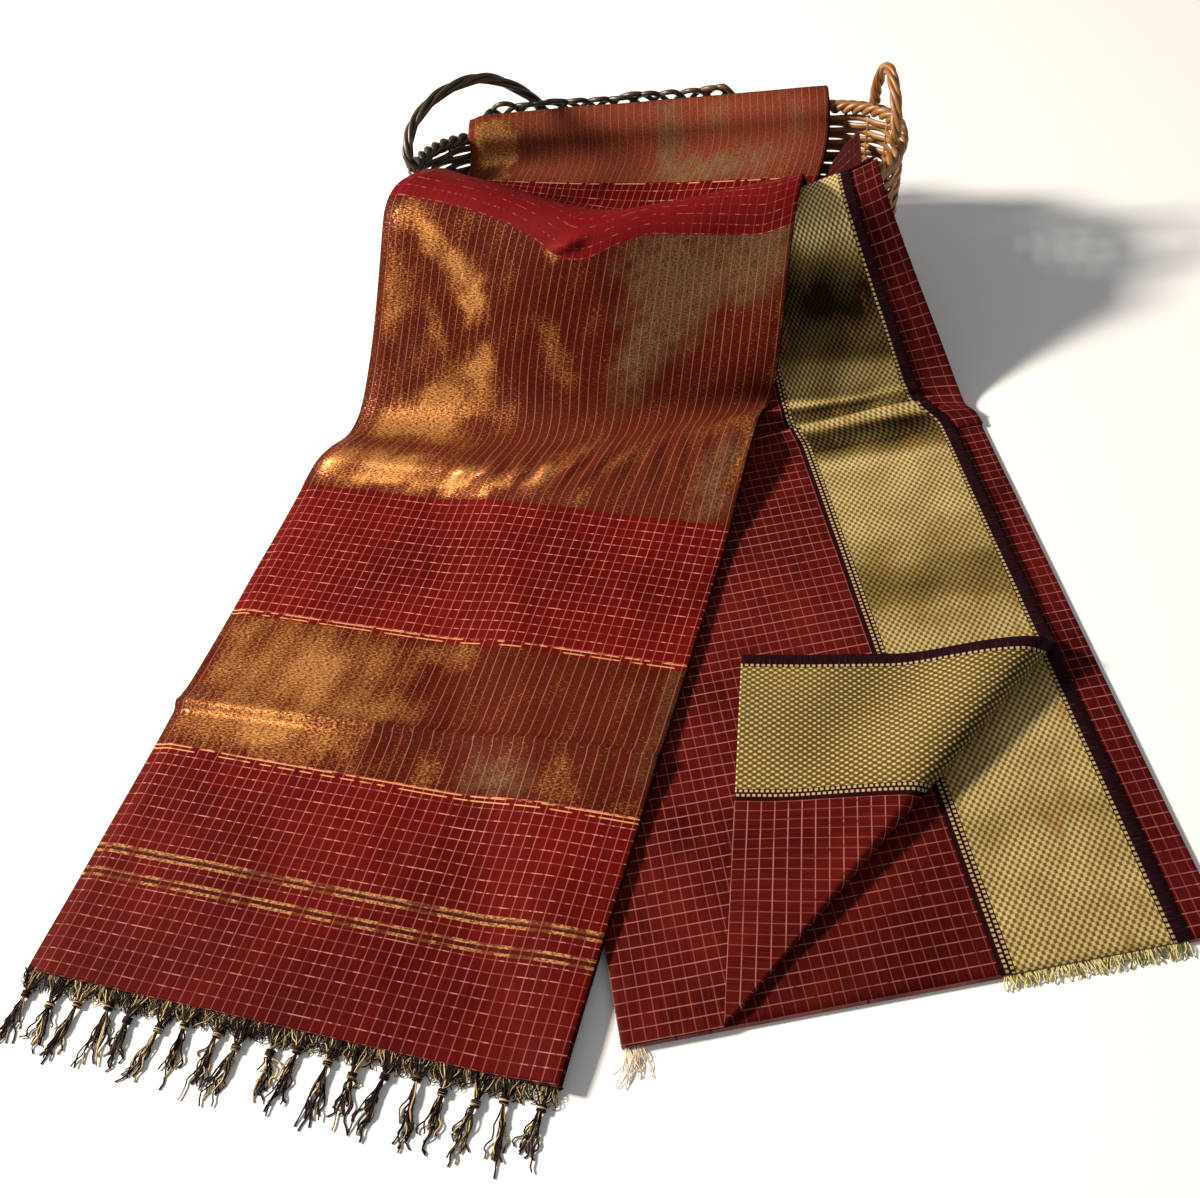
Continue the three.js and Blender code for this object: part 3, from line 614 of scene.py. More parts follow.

# %% [markdown]
# Gold thread glitters only where the cloth faces the light. In Cycles a true glint would need
# thousands of threads, so the places are given in a short table of soft patches, and
# the material breaks them up into specks. A second table gives the greyer sheen.

# %% Where the gold catches the light
# Each patch: mm along the cloth and across it, its half sizes, its slant, and its strength
GLINTS = [
    (564, 22, 12, 14, 0.0, 0.9), (548, 46, 15, 12, -1.0, 1.0), (530, 70, 17, 14, -0.5, 1.0),
    (514, 80, 11, 10, 0, 0.8), (524, 17, 19, 12, 0.0, 0.8), (498, 52, 17, 6, -0.6, 0.8),
    (499, 14, 11, 6, 0.0, 0.7), (478, 91, 14, 9, 0.0, 0.9), (463, 74, 17, 24, 0.3, 1.0),
    (447, 48, 14, 28, 0.4, 0.9), (434, 40, 14, 32, 0.0, 0.9), (428, 76, 12, 16, 0.0, 0.7),
    (490, 143, 23, 9, -0.5, 0.85), (563, 133, 11, 5, 0.3, 1.5), (440, 108, 15, 8, 0.4, 0.6),
    (452, 96, 10, 10, 0.0, 0.5), (388, 30, 21, 38, 0.0, 1.1), (382, 78, 19, 30, 0.0, 1.0),
    (372, 118, 12, 24, 0.0, 0.8), (386, 112, 14, 7, 0.4, 0.7), (384, 138, 16, 7, 0.4, 0.8),
    (402, 166, 26, 9, 0.35, 0.9), (378, 158, 14, 8, 0.3, 0.8), (396, 208, 12, 11, 0.5, 0.75),
    (366, 188, 8, 8, 0.0, 0.6), (405, 268, 9, 20, 0.0, 0.85), (388, 284, 14, 5, 0.0, 0.7),
    (460, 287, 70, 2.5, 0.0, 0.6), (212, 42, 36, 38, 0.0, 1.0), (208, 98, 38, 34, 0.0, 0.95),
    (238, 146, 9, 20, 0.0, 0.9), (190, 128, 12, 26, 0.0, 0.55), (164, 40, 16, 34, 0.0, 1.0),
    (160, 84, 15, 26, 0.0, 0.85), (160, 122, 12, 16, 0.0, 0.5), (153, 165, 11, 9, 0.0, 0.9),
    (159, 240, 13, 10, 0.0, 0.95), (150, 283, 5, 5, 0.0, 0.7), (742, 18, 16, 22, 0.0, 2.4),
    (720, 14, 14, 15, 0.0, 0.5), (716, 34, 18, 3, 0.1, 1.0), (708, 262, 8, 5, 0.0, 0.8),
]
GREYS = [
    (545, 240, 26, 42, 0.0, 1.0), (518, 214, 28, 26, 0.0, 0.9), (540, 268, 26, 16, 0.0, 0.8),
    (494, 206, 28, 15, 0.3, 0.7), (552, 192, 18, 18, 0.0, 0.6), (470, 190, 22, 10, 0.0, 0.5),
    (380, 272, 17, 11, 0.0, 0.8), (158, 205, 11, 18, 0.0, 0.8), (738, 164, 22, 9, 0.0, 1.5),
    (712, 188, 10, 27, 0.0, 1.4), (716, 230, 11, 22, 0.0, 0.9), (748, 200, 10, 9, 0.0, 0.7),
    (742, 264, 16, 6, 0.0, 0.6), (235, 284, 70, 5, 0.0, 0.4),
]
# Where the maroon of the tissue is painted lighter, a painted sheen: the far fold and the foot of the fall
WARM_LIGHT = [(735, 145, 40, 170, 0.0, 0.72), (400, 190, 45, 150, 0.0, 0.16), (200, 220, 50, 60, 0.0, 0.1)]
# Where the dip's red is painted lighter, a painted highlight, and its check is hidden
LIT_AND_PLAIN = [(588, 60, 34, 70, 0.0, 0.9), (588, 150, 34, 60, 0.0, 0.8), (588, 235, 34, 60, 0.0, 0.75)]


def patches(u, v, table, seed):
    """Sum of soft patches with uneven edges: strength times a smooth step of 1.6 minus the distance
    from the centre in half sizes, each column of threads being shifted a little by itself."""
    torn_u = u + 3.5 * ripples(u * 0.2, v, 8, seed) + 2.5 * ripples(u, v, 12, seed + 1)
    torn_v = v + 3 * ripples(u, v, 16, seed + 2)
    total = np.zeros(np.broadcast(u, v).shape)
    for place, side, along, across, slant, strength in table:
        x = (torn_u - place) / along
        y = (torn_v - side - slant * (u - place)) / across
        total += strength * ease((1.6 - np.hypot(x, y)) / 1.1)
    return total


# %% [markdown]
# The tissue ends at the crest, where the red checks of the dip begin. Its weft is drawn askew by
# the folds there, so a table says how many mm sooner the red begins across the cloth.

# %% The decorated end's sheet
PALLU_STEP = 2.25
rows = np.interp(np.arange(0, PALLU_LONG, PALLU_STEP), fine_u, fine)
columns = np.linspace(0, 1, 132)
pallu_points = pallu_face(rows, columns)
pallu_v = (WIDTH - 1) * share_across(ACROSS, columns)
pallu_along = np.interp(rows, fine, fine_u)[:, None]
u_grid, v_grid = np.broadcast_arrays(pallu_along, pallu_v)
RED_SOONER = np.array([(0, 3), (50, 4), (95, 9), (130, 19), (145, 26), (160, 17), (185, 9), (217, 16),
                       (250, 24), (275, 30), (289, 22)], float)
SOFTEN = (-10, -4, 4, 10)
skew = sum(np.interp(v_grid + shift, *RED_SOONER.T) for shift in SOFTEN) / len(SOFTEN)
skew = skew * ease((u_grid - 500) / 60) * ease((GOLD_AGAIN - 8 - u_grid) / 60)


def pallu_relief(u, v):
    """Height in mm that wrinkles add: a sharp crease, gathers on the hump, soft waves on the fall and
    a pinch. Each is a bell curve or a smooth step times its waves."""
    hump = np.exp(-((u - pallu_u("hump", -0.25)) / 13) ** 2)
    gathers = 0.9 * hump * (1 + np.sin(2 * np.pi * v / 17 + 2 * ripples(u, v, 60, 2))) * ease((v - 70) / 60)
    line = CREASE_AT - 7 + 10 * v / WIDTH
    crease = 2.2 * np.exp(-((u - line - 4) / 3.0) ** 2) - 0.6 * np.exp(-((u - line + 3) / 3) ** 2)
    falling = ease((u - pallu_u("valley")) / 40) * ease((CREST_AT - u) / 30)
    waves = 1.3 * falling * (1 + ripples(u * 0.35, v, 55, 4))
    pinch_u, pinch_v = CREST_AT - 12, 0.48 * WIDTH
    turned = (u - pinch_u) * 0.45 + (v - pinch_v) * 0.89
    beside = -(u - pinch_u) * 0.89 + (v - pinch_v) * 0.45
    pinch = 4.0 * np.exp(-(turned / 12) ** 2 - (beside / 3.6) ** 2)
    lying = 0.3 * (1 + ripples(u, v, 70, 6))
    return gathers + crease + waves + pinch + lying


def rolled_side(v, wide, drop):
    """How far the folded side edge falls away: drop times a smooth step over its width."""
    return drop * ease(1 - v / wide) ** 1.3


relief = pallu_relief(u_grid, v_grid) - rolled_side(v_grid, 13, 2.9)
pallu_sheet = pallu_points + normals_of(pallu_points) * relief[..., None]
sprinkle = 0.06 + 0.16 * ease((130 - v_grid) / 60) + 0.2 * ripples(u_grid * 0.5, v_grid, 22, 8)
catch = np.clip(0.74 * patches(u_grid, v_grid, GLINTS, 50) * ease((v_grid - 1) / 10) + sprinkle, 0, 1.3)
grey = patches(u_grid, v_grid, GREYS, 60) * (0.8 + 0.35 * ripples(u_grid, v_grid, 13, 66))
grey = np.clip(grey, 0, np.where(u_grid > GOLD_AGAIN, 1.8, 1.0))
warm_light = np.clip(patches(u_grid, v_grid, WARM_LIGHT, 64), 0, 1)
lit_and_plain = np.clip(patches(u_grid, v_grid, LIT_AND_PLAIN, 68), 0, 1)
# The ground is painted darker towards the fringe end, a painted shade.
pallu_silk = silk("handloom silk with gold weft", ("#430504", "#6A0F0A"), ("#A45A4E", "#D08474"), breaks=0.54,
                  end_shade=(150.0, 0.32), stripes=(61.0, 76.0),
                  zones=[(147.0, 246.0), (GOLD_AT, CREST_AT), (GOLD_AGAIN, PALLU_LONG + 40)],
                  edges=(145.6, 143.0, 247.4, 250.0, GOLD_AGAIN - 1.4))
pallu_cloth = sheet_piece("pallu_cloth", pallu_sheet, u_grid + skew, pallu_v, pallu_silk,
                          ["pallu_floor_top", "pallu_fall_top", "pallu_dip_top", "pallu_back_top"],
                          bottom=CLOTH, values={"catch": catch, "grey": grey, "warm_light": warm_light, "lit_and_plain": lit_and_plain})

# %% [markdown]
# Under the top layer lie three more folds of the same cloth. They only show at their edges, so
# one slab stands for them, with a small round for each fold and the check carried round it.
# Their silk is a darker copy of the cloth: painted shade for folds that lie in shadow.

# %% The hidden layers of the decorated end
layer_rows = np.interp(np.arange(0, PALLU_LONG, 4.0), fine_u, fine)
layer_columns = np.concatenate([[0.036, 0.045], np.linspace(0.06, 0.97, 46), [0.985, 1.0]])
layer_points = pallu_face(layer_rows, layer_columns)
layer_u = np.interp(layer_rows, fine, fine_u)[:, None]
layer_v = (WIDTH - 1) * share_across(ACROSS, layer_columns)
# Painted shade: a darker copy of the silk, used for the hidden folds, inside the basket and for the pile.
shaded_silk = silk("inner folds of the silk in painted shade", ("#1C0304", "#3C080A"), ("#522422", "#80483F"), breaks=0.54)
pallu_layers = sheet_piece("pallu_layers", layer_points, layer_u, layer_v, shaded_silk,
                           ["pallu_floor_under", "pallu_fall_under", "pallu_dip_under", "pallu_back_under"],
                           top=1.0, bottom=PALLU_HIGH - 0.06, folds=3, bulge=0.7)

# %% [markdown]
# ## The body stretch and its rolled corner
# The top layer's corner is rolled back, so its wrong side and border show. Cloth rolls about
# a straight line into a cone. A point of the cloth is given by its swing past the line and its
# reach from the cone's tip. The rays from the tip are rows of the grid, so the sheet bends
# exactly along the line and the checks stay true through the roll.

# %% The rolled top layer
ROLL = {"from": 49.0, "angle": 41.2, "growth": 0.035, "least": 1.6, "settle": 60.0}
BORDERED = WIDTH - 18
line_angle = math.radians(ROLL["angle"])
half_turn = math.pi * ROLL["growth"]
flap_high = BODY_HIGH + GAP + LAYER


def swing_past(along, across):
    """How far a cloth place lies past the roll line, as an angle at the cone's tip: the line's angle
    minus the place's own, and -1 left of the tip."""
    return np.where(across > ROLL["from"], line_angle - np.arctan2(along, across - ROLL["from"]), -1.0)


def rolled(along, across):
    """Cloth place to its place in the leg: flat behind the roll line, on a growing cone past it,
    then lying back."""
    reach = np.hypot(across - ROLL["from"], along)
    swing = swing_past(along, across)
    radius = np.maximum(ROLL["least"], ROLL["growth"] * reach) * ease(reach / 12)
    turned = np.clip(swing / ROLL["growth"], 0, np.pi)
    past = np.maximum(0, swing - half_turn)
    on_line = swing > 0
    base = BODY_HIGH - CLOTH
    high = base + radius * (1 - np.cos(turned))
    settled = ease(1 - past * reach / ROLL["settle"])
    waves = 1.2 * ease(past * reach / 40) * (1 + ripples(along, across, 90, 21))
    lying = mix(flap_high, np.maximum(flap_high, high), settled) + waves
    high = np.where(past > 0, lying, high)
    out = radius * np.sin(turned)
    back_along = np.sin(line_angle + past) * reach - out * math.cos(line_angle)
    back_across = ROLL["from"] + np.cos(line_angle + past) * reach + out * math.sin(line_angle)
    new_along = np.where(on_line, back_along, along)
    new_across = np.where(on_line, back_across, across)
    return leg_point(BODY, new_along, new_across, np.where(on_line, high, base))


top_columns = np.concatenate([np.linspace(0, ROLL["from"], 20), np.linspace(ROLL["from"], BORDERED, 112)[1:]])
swings = np.concatenate([np.linspace(line_angle, half_turn, 70)[:-1], np.linspace(half_turn, 0, 22)])
rays = np.maximum(top_columns - ROLL["from"], 0)[None, :] * np.tan(line_angle - swings)[:, None]
thin = 1.5 * ease((ROLL["from"] + 10 - top_columns) / 10)[None, :]
rays = rays + thin * np.linspace(0, 1, len(swings))[:, None]
flat_share = np.linspace(0, 1, 95)[1:, None]
flat_rows = mix(rays[-1:], FOOT_AT, flat_share)
top_along = np.concatenate([rays, flat_rows])
top_across = np.broadcast_to(top_columns, top_along.shape)
top_face = rolled(top_along, top_across)
PRESSED = {"at": 108.0, "slant": 0.1, "high": 0.9, "wide": 2.6}  # the crease across the border
pressed = (top_along + PRESSED["slant"] * top_across - PRESSED["at"]) / PRESSED["wide"]
body_relief = 0.25 * (1 + ripples(top_along, top_across, 60, 23)) + PRESSED["high"] * np.exp(-pressed ** 2)
body_relief = body_relief * ease((top_along - rays[-1:]) / 20) * ease((FOOT_AT - top_along) / 12)
top_face[..., 2] += body_relief
CHAIN_AT, SECOND_CHAIN_AT, BORDER_END, SELVAGE_END = 181.0, 188.0, 265.0, 276.0
BODY_LINES = ("#86423C", "#A4665C")
# Bands of sheen along the border: mm along the cloth, tone from dark 0 to bright 1
BORDER_TONES = np.array([
    (0, 0.66), (60, 0.7), (82, 0.55), (92, 0.68), (140, 0.74), (180, 0.66), (208, 0.7), (226, 0.55),
    (234, 0.4), (242, 0.32), (258, 0.36), (268, 0.52), (300, 0.7), (345, 0.74), (353, 0.9), (360, 0.45),
    (368, 0.14), (384, 0.1), (388, 0.8), (395, 0.85), (399, 0.16), (407, 0.16), (410, 0.95), (414, 0.5),
    (424, 0.62), (436, 0.55), (443, 0.24), (458, 0.16), (472, 0.04), (490, 0.02), (500, 0.2), (510, 0.55),
    (520, 0.9), (530, 1.0), (560, 1.0),
])


def border_tone(u, v):
    """The sheen's tone by a table along the cloth, slightly askew and uneven."""
    return np.clip(np.interp(u + 0.06 * (v - 225), *BORDER_TONES.T) + 0.08 * ripples(u, v, 38, 22), 0, 1)


body_silk = silk("checked silk with a gold border", ("#340705", "#601611"), BODY_LINES, breaks=0.33,
                 border=(CHAIN_AT, BORDER_END, SELVAGE_END))
half_turns = swing_past(top_along, top_across) / half_turn
turned = ease(half_turns)
roll_shade = 0.4 * np.exp(-((half_turns - 0.5) / 0.7) ** 2)
flap_tone = 0.5 + 0.07 * ripples(top_along, top_across, 70, 24) - roll_shade
body_tone = mix(border_tone(top_along, top_across), np.clip(flap_tone, 0, 1), turned)
top_points = top_face + normals_of(top_face) * CLOTH
body_cloth = sheet_piece("body_cloth", top_points, top_along, top_across, body_silk,
                         ["body_floor_top", "body_flap"], bottom=CLOTH,
                         values={"tone": body_tone, "turned": turned})

# %% The second layer and the hidden folds on the floor
second_rows, second_columns = np.linspace(0, FOOT_AT, 75), np.linspace(0, BORDERED, 56)
second_along, second_across = np.meshgrid(second_rows, second_columns, indexing="ij")
second_high = BODY_SECOND + LAYER * 0.6 + 0.25 * ripples(second_along, second_across, 80, 25)
second_face = leg_point(BODY, second_along, second_across, second_high)
# This layer, too, is painted darker towards its cut end, a painted shade.
second_silk = silk("second layer of the bordered silk", ("#340705", "#5E1510"), BODY_LINES,
                   end_shade=(230.0, 0.25), border=(SECOND_CHAIN_AT, BORDER_END, SELVAGE_END))


def right_side(u, v):
    """The border's point values where the right side is up."""
    return {"tone": border_tone(u, v), "turned": np.zeros(u.shape)}


body_second = sheet_piece("body_second", second_face, second_along, second_across, second_silk,
                          ["body_floor_second"], bottom=CLOTH,
                          values=right_side(second_along, second_across))
under_columns = np.concatenate([[0.6], np.linspace(4, WIDTH - 8, 40), np.linspace(WIDTH - 6, WIDTH - 0.8, 5)])
under_along, under_across = np.meshgrid(np.linspace(0, FOOT_AT, 60), under_columns, indexing="ij")
under_face = leg_point(BODY, under_along, under_across, HIDDEN)
fold_silk = silk("outer fold of the silk", ("#300606", "#551210"), ("#7C3C38", "#9A5C54"))
body_layers = sheet_piece("body_layers", under_face, under_along, under_across, fold_silk,
                          ["body_floor_under"], bottom=HIDDEN, folds=3, bulge=0.6)

# %% [markdown]
# ## The body stretch over the rim
# The same steered rows carry the bordered stretch from the floor over the rim. Only the part
# right of the decorated end is seen, with a margin under it.

# %% The fall of the body
BODY_ACROSS = [0.45, 0.62, 0.94, 1]
BODY_ALONG = [20, 50, 128, 146]


def body_row(along, high):
    """Four points straight across the body leg."""
    return leg_point(BODY, along, np.array(BODY_ACROSS) * WIDTH, high).tolist()


BODY_ROWS = {
    "foot": body_row(FOOT_AT, BODY_HIGH),
    "before hump": body_row(FOOT_AT + 8, BODY_HIGH),
    "hump": [[104, 704, 9], [143, 702, 12], [229, 710, 13], [253, 705, 10]],
    "valley": [[104, 724, 4], [139, 722, 3], [225, 730, 3], [252, 718, 5]],
    "low fall": [[104, 764, 30], [138, 754, 30], [218, 741, 31], [246, 747, 31]],
    "high fall": [[98, 800, 74], [134, 794, 76], [208, 778, 74], [233, 788, 76]],
    "crest": over_rim(BODY_ALONG, -1, 14, 13.2),
    "lip": over_rim(BODY_ALONG, -1, -10, 10.8),
}
BODY_TABLE = np.array(list(BODY_ROWS.values()), float)


def body_face(rows, across):
    """The body's face over the rim."""
    return face_of(BODY_TABLE, rows, across)


body_fine = np.linspace(0, len(BODY_TABLE) - 2, 700)
body_u = FOOT_AT + lengths_along(body_face(body_fine, np.linspace(0, 1, 7)))
fall_rows = np.interp(np.arange(FOOT_AT, body_u[-1], 1.9), body_u, body_fine)
fall_columns = np.linspace(0, 0.8, 84)
fall_points = body_face(fall_rows, fall_columns)
fall_v = WIDTH * share_across(BODY_ACROSS, fall_columns)
fall_u = np.interp(fall_rows, body_fine, body_u)[:, None]
fall_grid_u, fall_grid_v = np.broadcast_arrays(fall_u, fall_v)
soft = 0.5 * ease((fall_grid_u - FOOT_AT) / 20) * (1 + ripples(fall_grid_u, fall_grid_v, 45, 31))
RIDGES = [(411, 3.2), (392, 2.8)]  # mm along the cloth, and high
ridges = sum(high * np.exp(-((fall_grid_u - at) / 2.7) ** 2) for at, high in RIDGES)
fall_points = fall_points + normals_of(fall_points) * (soft + ridges)[..., None]
body_fall_cloth = sheet_piece("body_fall_cloth", fall_points, fall_u, fall_v, body_silk,
                              ["body_fall_top"], bottom=CLOTH, values=right_side(fall_grid_u, fall_grid_v))
deep_rows = np.interp(np.arange(FOOT_AT, body_u[-1], 3.2), body_u, body_fine)
deep_columns = np.linspace(0, 1, 46)
deep_u = np.interp(deep_rows, body_fine, body_u)[:, None]
body_fall_layers = sheet_piece("body_fall_layers", body_face(deep_rows, deep_columns), deep_u,
                               WIDTH * share_across(BODY_ACROSS, deep_columns), fold_silk,
                               ["body_fall_under"], top=1.2, bottom=BODY_HIGH, folds=4, bulge=0.6)
print(f"body stretch: {body_u[-1]:.0f} mm from its end to the rim")

# %% Inside the basket beside the decorated end
INSIDE_ACROSS = np.array([0.5, 0.7, 0.85, 1])
seam = body_face([len(BODY_TABLE) - 2], INSIDE_ACROSS)[0]
INSIDE_ROWS = np.array([
    seam + [0, GAP + 0.1, -LAYER - GAP],
    seam + [0, 9, -LAYER - 1],
    [[186, 862, 74], [200, 862, 76], [213, 862, 79], [226, 862, 84]],
    [[190, 884, 56], [203, 884, 60], [216, 884, 66], [228, 884, 74]],
    [[199, 901, 54], [210, 903, 61], [221, 903, 69], [231, 901, 80]],
    [[210, 909, 66], [217, 913, 74], [225, 914, 83], [232, 911, 92]],
])
inside_rows, inside_columns = np.linspace(0, len(INSIDE_ROWS) - 2, 50), np.linspace(0, 1, 26)
inside_points = face_of(INSIDE_ROWS, inside_rows, inside_columns)
inside_u = body_u[-1] + lengths_along(inside_points)[:, None]
inside_v = WIDTH * np.linspace(0.8, 0.99, 26)[None, :]
# The darker copy of the silk paints the shade inside the basket.
body_inside = sheet_piece("body_inside_cloth", inside_points, inside_u, inside_v, shaded_silk,
                          ["body_inside"], bottom=CLOTH)

# %% [markdown]
# ## The rest of the cloth
# About four metres of the saree lie folded to and fro in the basket. The folds show only as
# rounded edges round an oval pile, deep under the dip.

# %% The folded pile
PILE = {"low": BASKET["floor"] + GAP, "high": 42.0, "half": 136.0, "depth": 44.0, "folds": 9, "bulge": 2.2}
angle = np.linspace(0, 2 * np.pi, 97)[:-1]
level = np.linspace(0, 1, PILE["folds"] * 6 + 1)
bulge = PILE["bulge"] * (np.abs(np.sin(np.pi * PILE["folds"] * level)) ** 0.6 - 1)
shape_x = np.sign(np.cos(angle)) * np.abs(np.cos(angle)) ** 0.6
shape_y = np.sign(np.sin(angle)) * np.abs(np.sin(angle)) ** 0.6
inward = np.concatenate([np.ones(len(level)), np.linspace(1, 0.05, 9)[1:]])
pile_out = np.concatenate([bulge, np.full(8, bulge[-1])])
pile_z = np.concatenate([mix(PILE["low"], PILE["high"], level), np.full(8, PILE["high"])])
wander = 1 + 0.02 * ripples(pile_z[:, None] * 6, angle[None, :] * 30, 40, 41)
pile_along = (PILE["half"] + pile_out[:, None]) * shape_x * inward[:, None] * wander
pile_back = (PILE["depth"] + pile_out[:, None]) * shape_y * inward[:, None] * wander
pile_x, pile_y = on_basket(pile_along, pile_back)
pile = np.stack([pile_x, pile_y, np.broadcast_to(pile_z[:, None], pile_x.shape)], axis=-1)


def tube_faces(rows, size, start=0, caps=True):
    """Quads between closed rings, with a polygon at either end."""
    faces = ring_quads(rows, size, start)
    if caps:
        faces.append(list(range(start + size - 1, start - 1, -1)))
        faces.append(list(range(start + (rows - 1) * size, start + rows * size)))
    return faces


pile_uv = [np.broadcast_to(place, pile_x.shape).ravel() for place in (pile_z[:, None] * 3, angle * 120)]
pile_faces = tube_faces(len(pile_z), len(angle))
# The pile wears the darker copy of the silk, painted shade deep in the basket.
make_piece("folded_pile", pile.reshape(-1, 3), pile_faces, shaded_silk, ["folded_stack"],
           np.stack(pile_uv, axis=-1))

# %% [markdown]
# ## The basket
# A cane basket is plaited: upright stakes, and weavers that pass in front of one stake and
# behind the next. A bump map would look flat at the rim, so the weavers are real tubes. All
# of them are one array: level, place round the oval, and place round the cane.

# %% Cane
def cane(name):
    """Peeled willow or cane: olive-brown at the shaded end and golden at the other, with fibres along it."""
    material, tree, shader = start_material(name, 0.42, Specular_IOR_Level=0.5, Coat_Weight=0.15,
                                            Coat_Roughness=0.3)
    u, v = cloth_place(tree)
    fibre = streaks(tree, u, v, 22, 0.8, detail=3.0)
    knots = streaks(tree, u, v, 34, 30, seed=4.0)
    where = add(tree, "SeparateXYZ", {0: add(tree, "TexCoord", out=3)})
    shaded = blend(tree, "#1A1209", "#5E4F30", remap(tree, fibre, 0.35, 0.75))
    golden = blend(tree, "#54300F", "#B47C40", remap(tree, fibre, 0.3, 0.7))
    colour = blend(tree, shaded, golden, remap(tree, where, 0.14, 0.25))
    colour = blend(tree, colour, "#140D07", remap(tree, knots, 0.62, 0.72, 0.0, 0.7))
    tree.links.new(colour, shader.inputs["Base Color"])
    bump = add(tree, "Bump", {"Height": fibre, "Strength": 0.3, "Distance": 0.0004})
    tree.links.new(bump, shader.inputs["Normal"])
    return material


# %% Tubes along many paths at once
UP = (0, 0, 1)


def tubes(paths, radius, sides, reference, flat=1.0, closed=False):
    """Rings round many paths: path + cos(a) side + sin(a) up, the side square to a reference direction."""
    paths = np.asarray(paths, float)
    if closed:
        tangent = unit(np.roll(paths, -1, axis=1) - np.roll(paths, 1, axis=1))
    else:
        tangent = unit(np.gradient(paths, axis=1))
    side = unit(np.cross(np.broadcast_to(reference, tangent.shape), tangent))
    up = np.cross(tangent, side)
    a = 2 * np.pi * np.arange(sides) / sides
    radius = np.broadcast_to(radius, paths.shape[:2])[..., None, None]
    ring = np.cos(a)[:, None] * side[..., None, :] * flat + np.sin(a)[:, None] * up[..., None, :]
    return paths[..., None, :] + ring * radius


def tube_piece(name, rings, material, replaces=(), closed=False):
    """One piece of many tubes, with UV along each and round it, in mm."""
    count, steps, sides, _ = rings.shape
    length = np.linalg.norm(np.diff(rings.mean(axis=2), axis=1), axis=-1)
    length = np.concatenate([np.zeros((count, 1)), np.cumsum(length, axis=1)], axis=1)
    round_mm = np.arange(sides) * 6.0 / sides
    shift = np.arange(count)[:, None, None] * 17.3
    uv = np.stack(np.broadcast_arrays(length[:, :, None] + shift, round_mm + shift * 0.37), axis=-1)
    faces = []
    for base in range(0, count * steps * sides, steps * sides):
        faces += tube_faces(steps, sides, base, caps=not closed)
        if closed:
            last = base + (steps - 1) * sides
            pairs = [(j, (j + 1) % sides) for j in range(sides)]
            faces += [[last + j, last + k, base + k, base + j] for j, k in pairs]
    return make_piece(name, rings.reshape(-1, 3), faces, material, replaces, uv.reshape(-1, 2))


# %% The plaited wall and base
def oval(share, out):
    """Points round the oval at equal distances: resampled from the superellipse |x/a|^p + |y/b|^p = 1."""
    t = np.linspace(0, 2 * np.pi, 721)
    power = 2 / BASKET["power"]
    x = (BASKET["half"] + out) * np.sign(np.cos(t)) * np.abs(np.cos(t)) ** power
    y = (BASKET["depth"] + out) * np.sign(np.sin(t)) * np.abs(np.sin(t)) ** power
    length = np.concatenate([[0], np.cumsum(np.hypot(np.diff(x), np.diff(y)))])
    return np.interp(share * length[-1], length, x), np.interp(share * length[-1], length, y)


def oval_away(share, out):
    """Points round the oval, and unit arrows from them towards an oval 10 mm larger."""
    points = np.stack(oval(share, out), axis=-1)
    return points, unit(np.stack(oval(share, out + 10), axis=-1) - points)


CANE_PITCH, STAKES, WEAVER_STEPS = 4.0, 44, 264
WEAVE_OUT, WEAVER_TALLER = 1.5, 1.6  # mm that a weaver swings in and out, and the height it gains
BASE_RINGS, BASE_PITCH, BASE_FLAT = 17, 4.1, 0.62
levels = int((BASKET["low"] - 6) / CANE_PITCH)
round_wall = np.arange(WEAVER_STEPS) / WEAVER_STEPS


def in_and_out(k):
    """The k-th cane's swing round the stakes: a cosine, turned over from one cane to the next."""
    return np.cos(np.pi * STAKES * round_wall + np.pi * k)


def lean(rise):
    """How far outside the rim's oval the wall stands: it leans in towards the base."""
    return -BASKET["taper"] * (1 - rise) ** 1.5


weavers = []
for k in range(levels):
    rise = (k + 0.6) / levels
    points, away = oval_away(round_wall, lean(rise))
    x, y = (points + away * (WEAVE_OUT * in_and_out(k))[:, None]).T
    z = 1.0 + rise * (rim_height(x) - BASKET["rim"] - 2.5)
    weavers.append(np.stack([*on_basket(x, y), z], axis=-1))
basket_cane = cane("split cane")
wall_rings = tubes(weavers, 1.0, 6, UP, flat=1.15, closed=True)
wall_rings[..., 2] += (wall_rings[..., 2] - np.array(weavers)[:, :, None, 2]) * WEAVER_TALLER
tube_piece("basket_weave", wall_rings, basket_cane, ["basket_bowl"], closed=True)

stakes = []
for rise in np.linspace(0.02, 1, 10):
    x, y = oval((np.arange(STAKES) + 0.5) / STAKES, lean(rise))
    z = 1.2 + rise * (rim_height(x) - BASKET["rim"] - 1.5)
    stakes.append(np.stack([*on_basket(x, y), z], axis=-1))
stake_rings = tubes(np.array(stakes).transpose(1, 0, 2), 1.2, 6, (0.3, 1.0, 0))
tube_piece("basket_stakes", stake_rings, basket_cane)

base_paths = []
for k in range(BASE_RINGS):
    x, y = on_basket(*oval(round_wall, -14 - BASE_PITCH * k))
    base_paths.append(np.stack([x, y, 2.3 + 0.7 * in_and_out(k)], axis=-1))
base_rings = tubes(base_paths, 2.1, 6, UP, closed=True) * [1, 1, BASE_FLAT] + [0, 0, 0.2]
tube_piece("basket_base", base_rings, basket_cane, closed=True)

# %% [markdown]
# The rim is finished with a twisted border of three canes. Each is a helix round the rim's
# middle line: two waves a quarter turn apart, one outwards and one upwards.

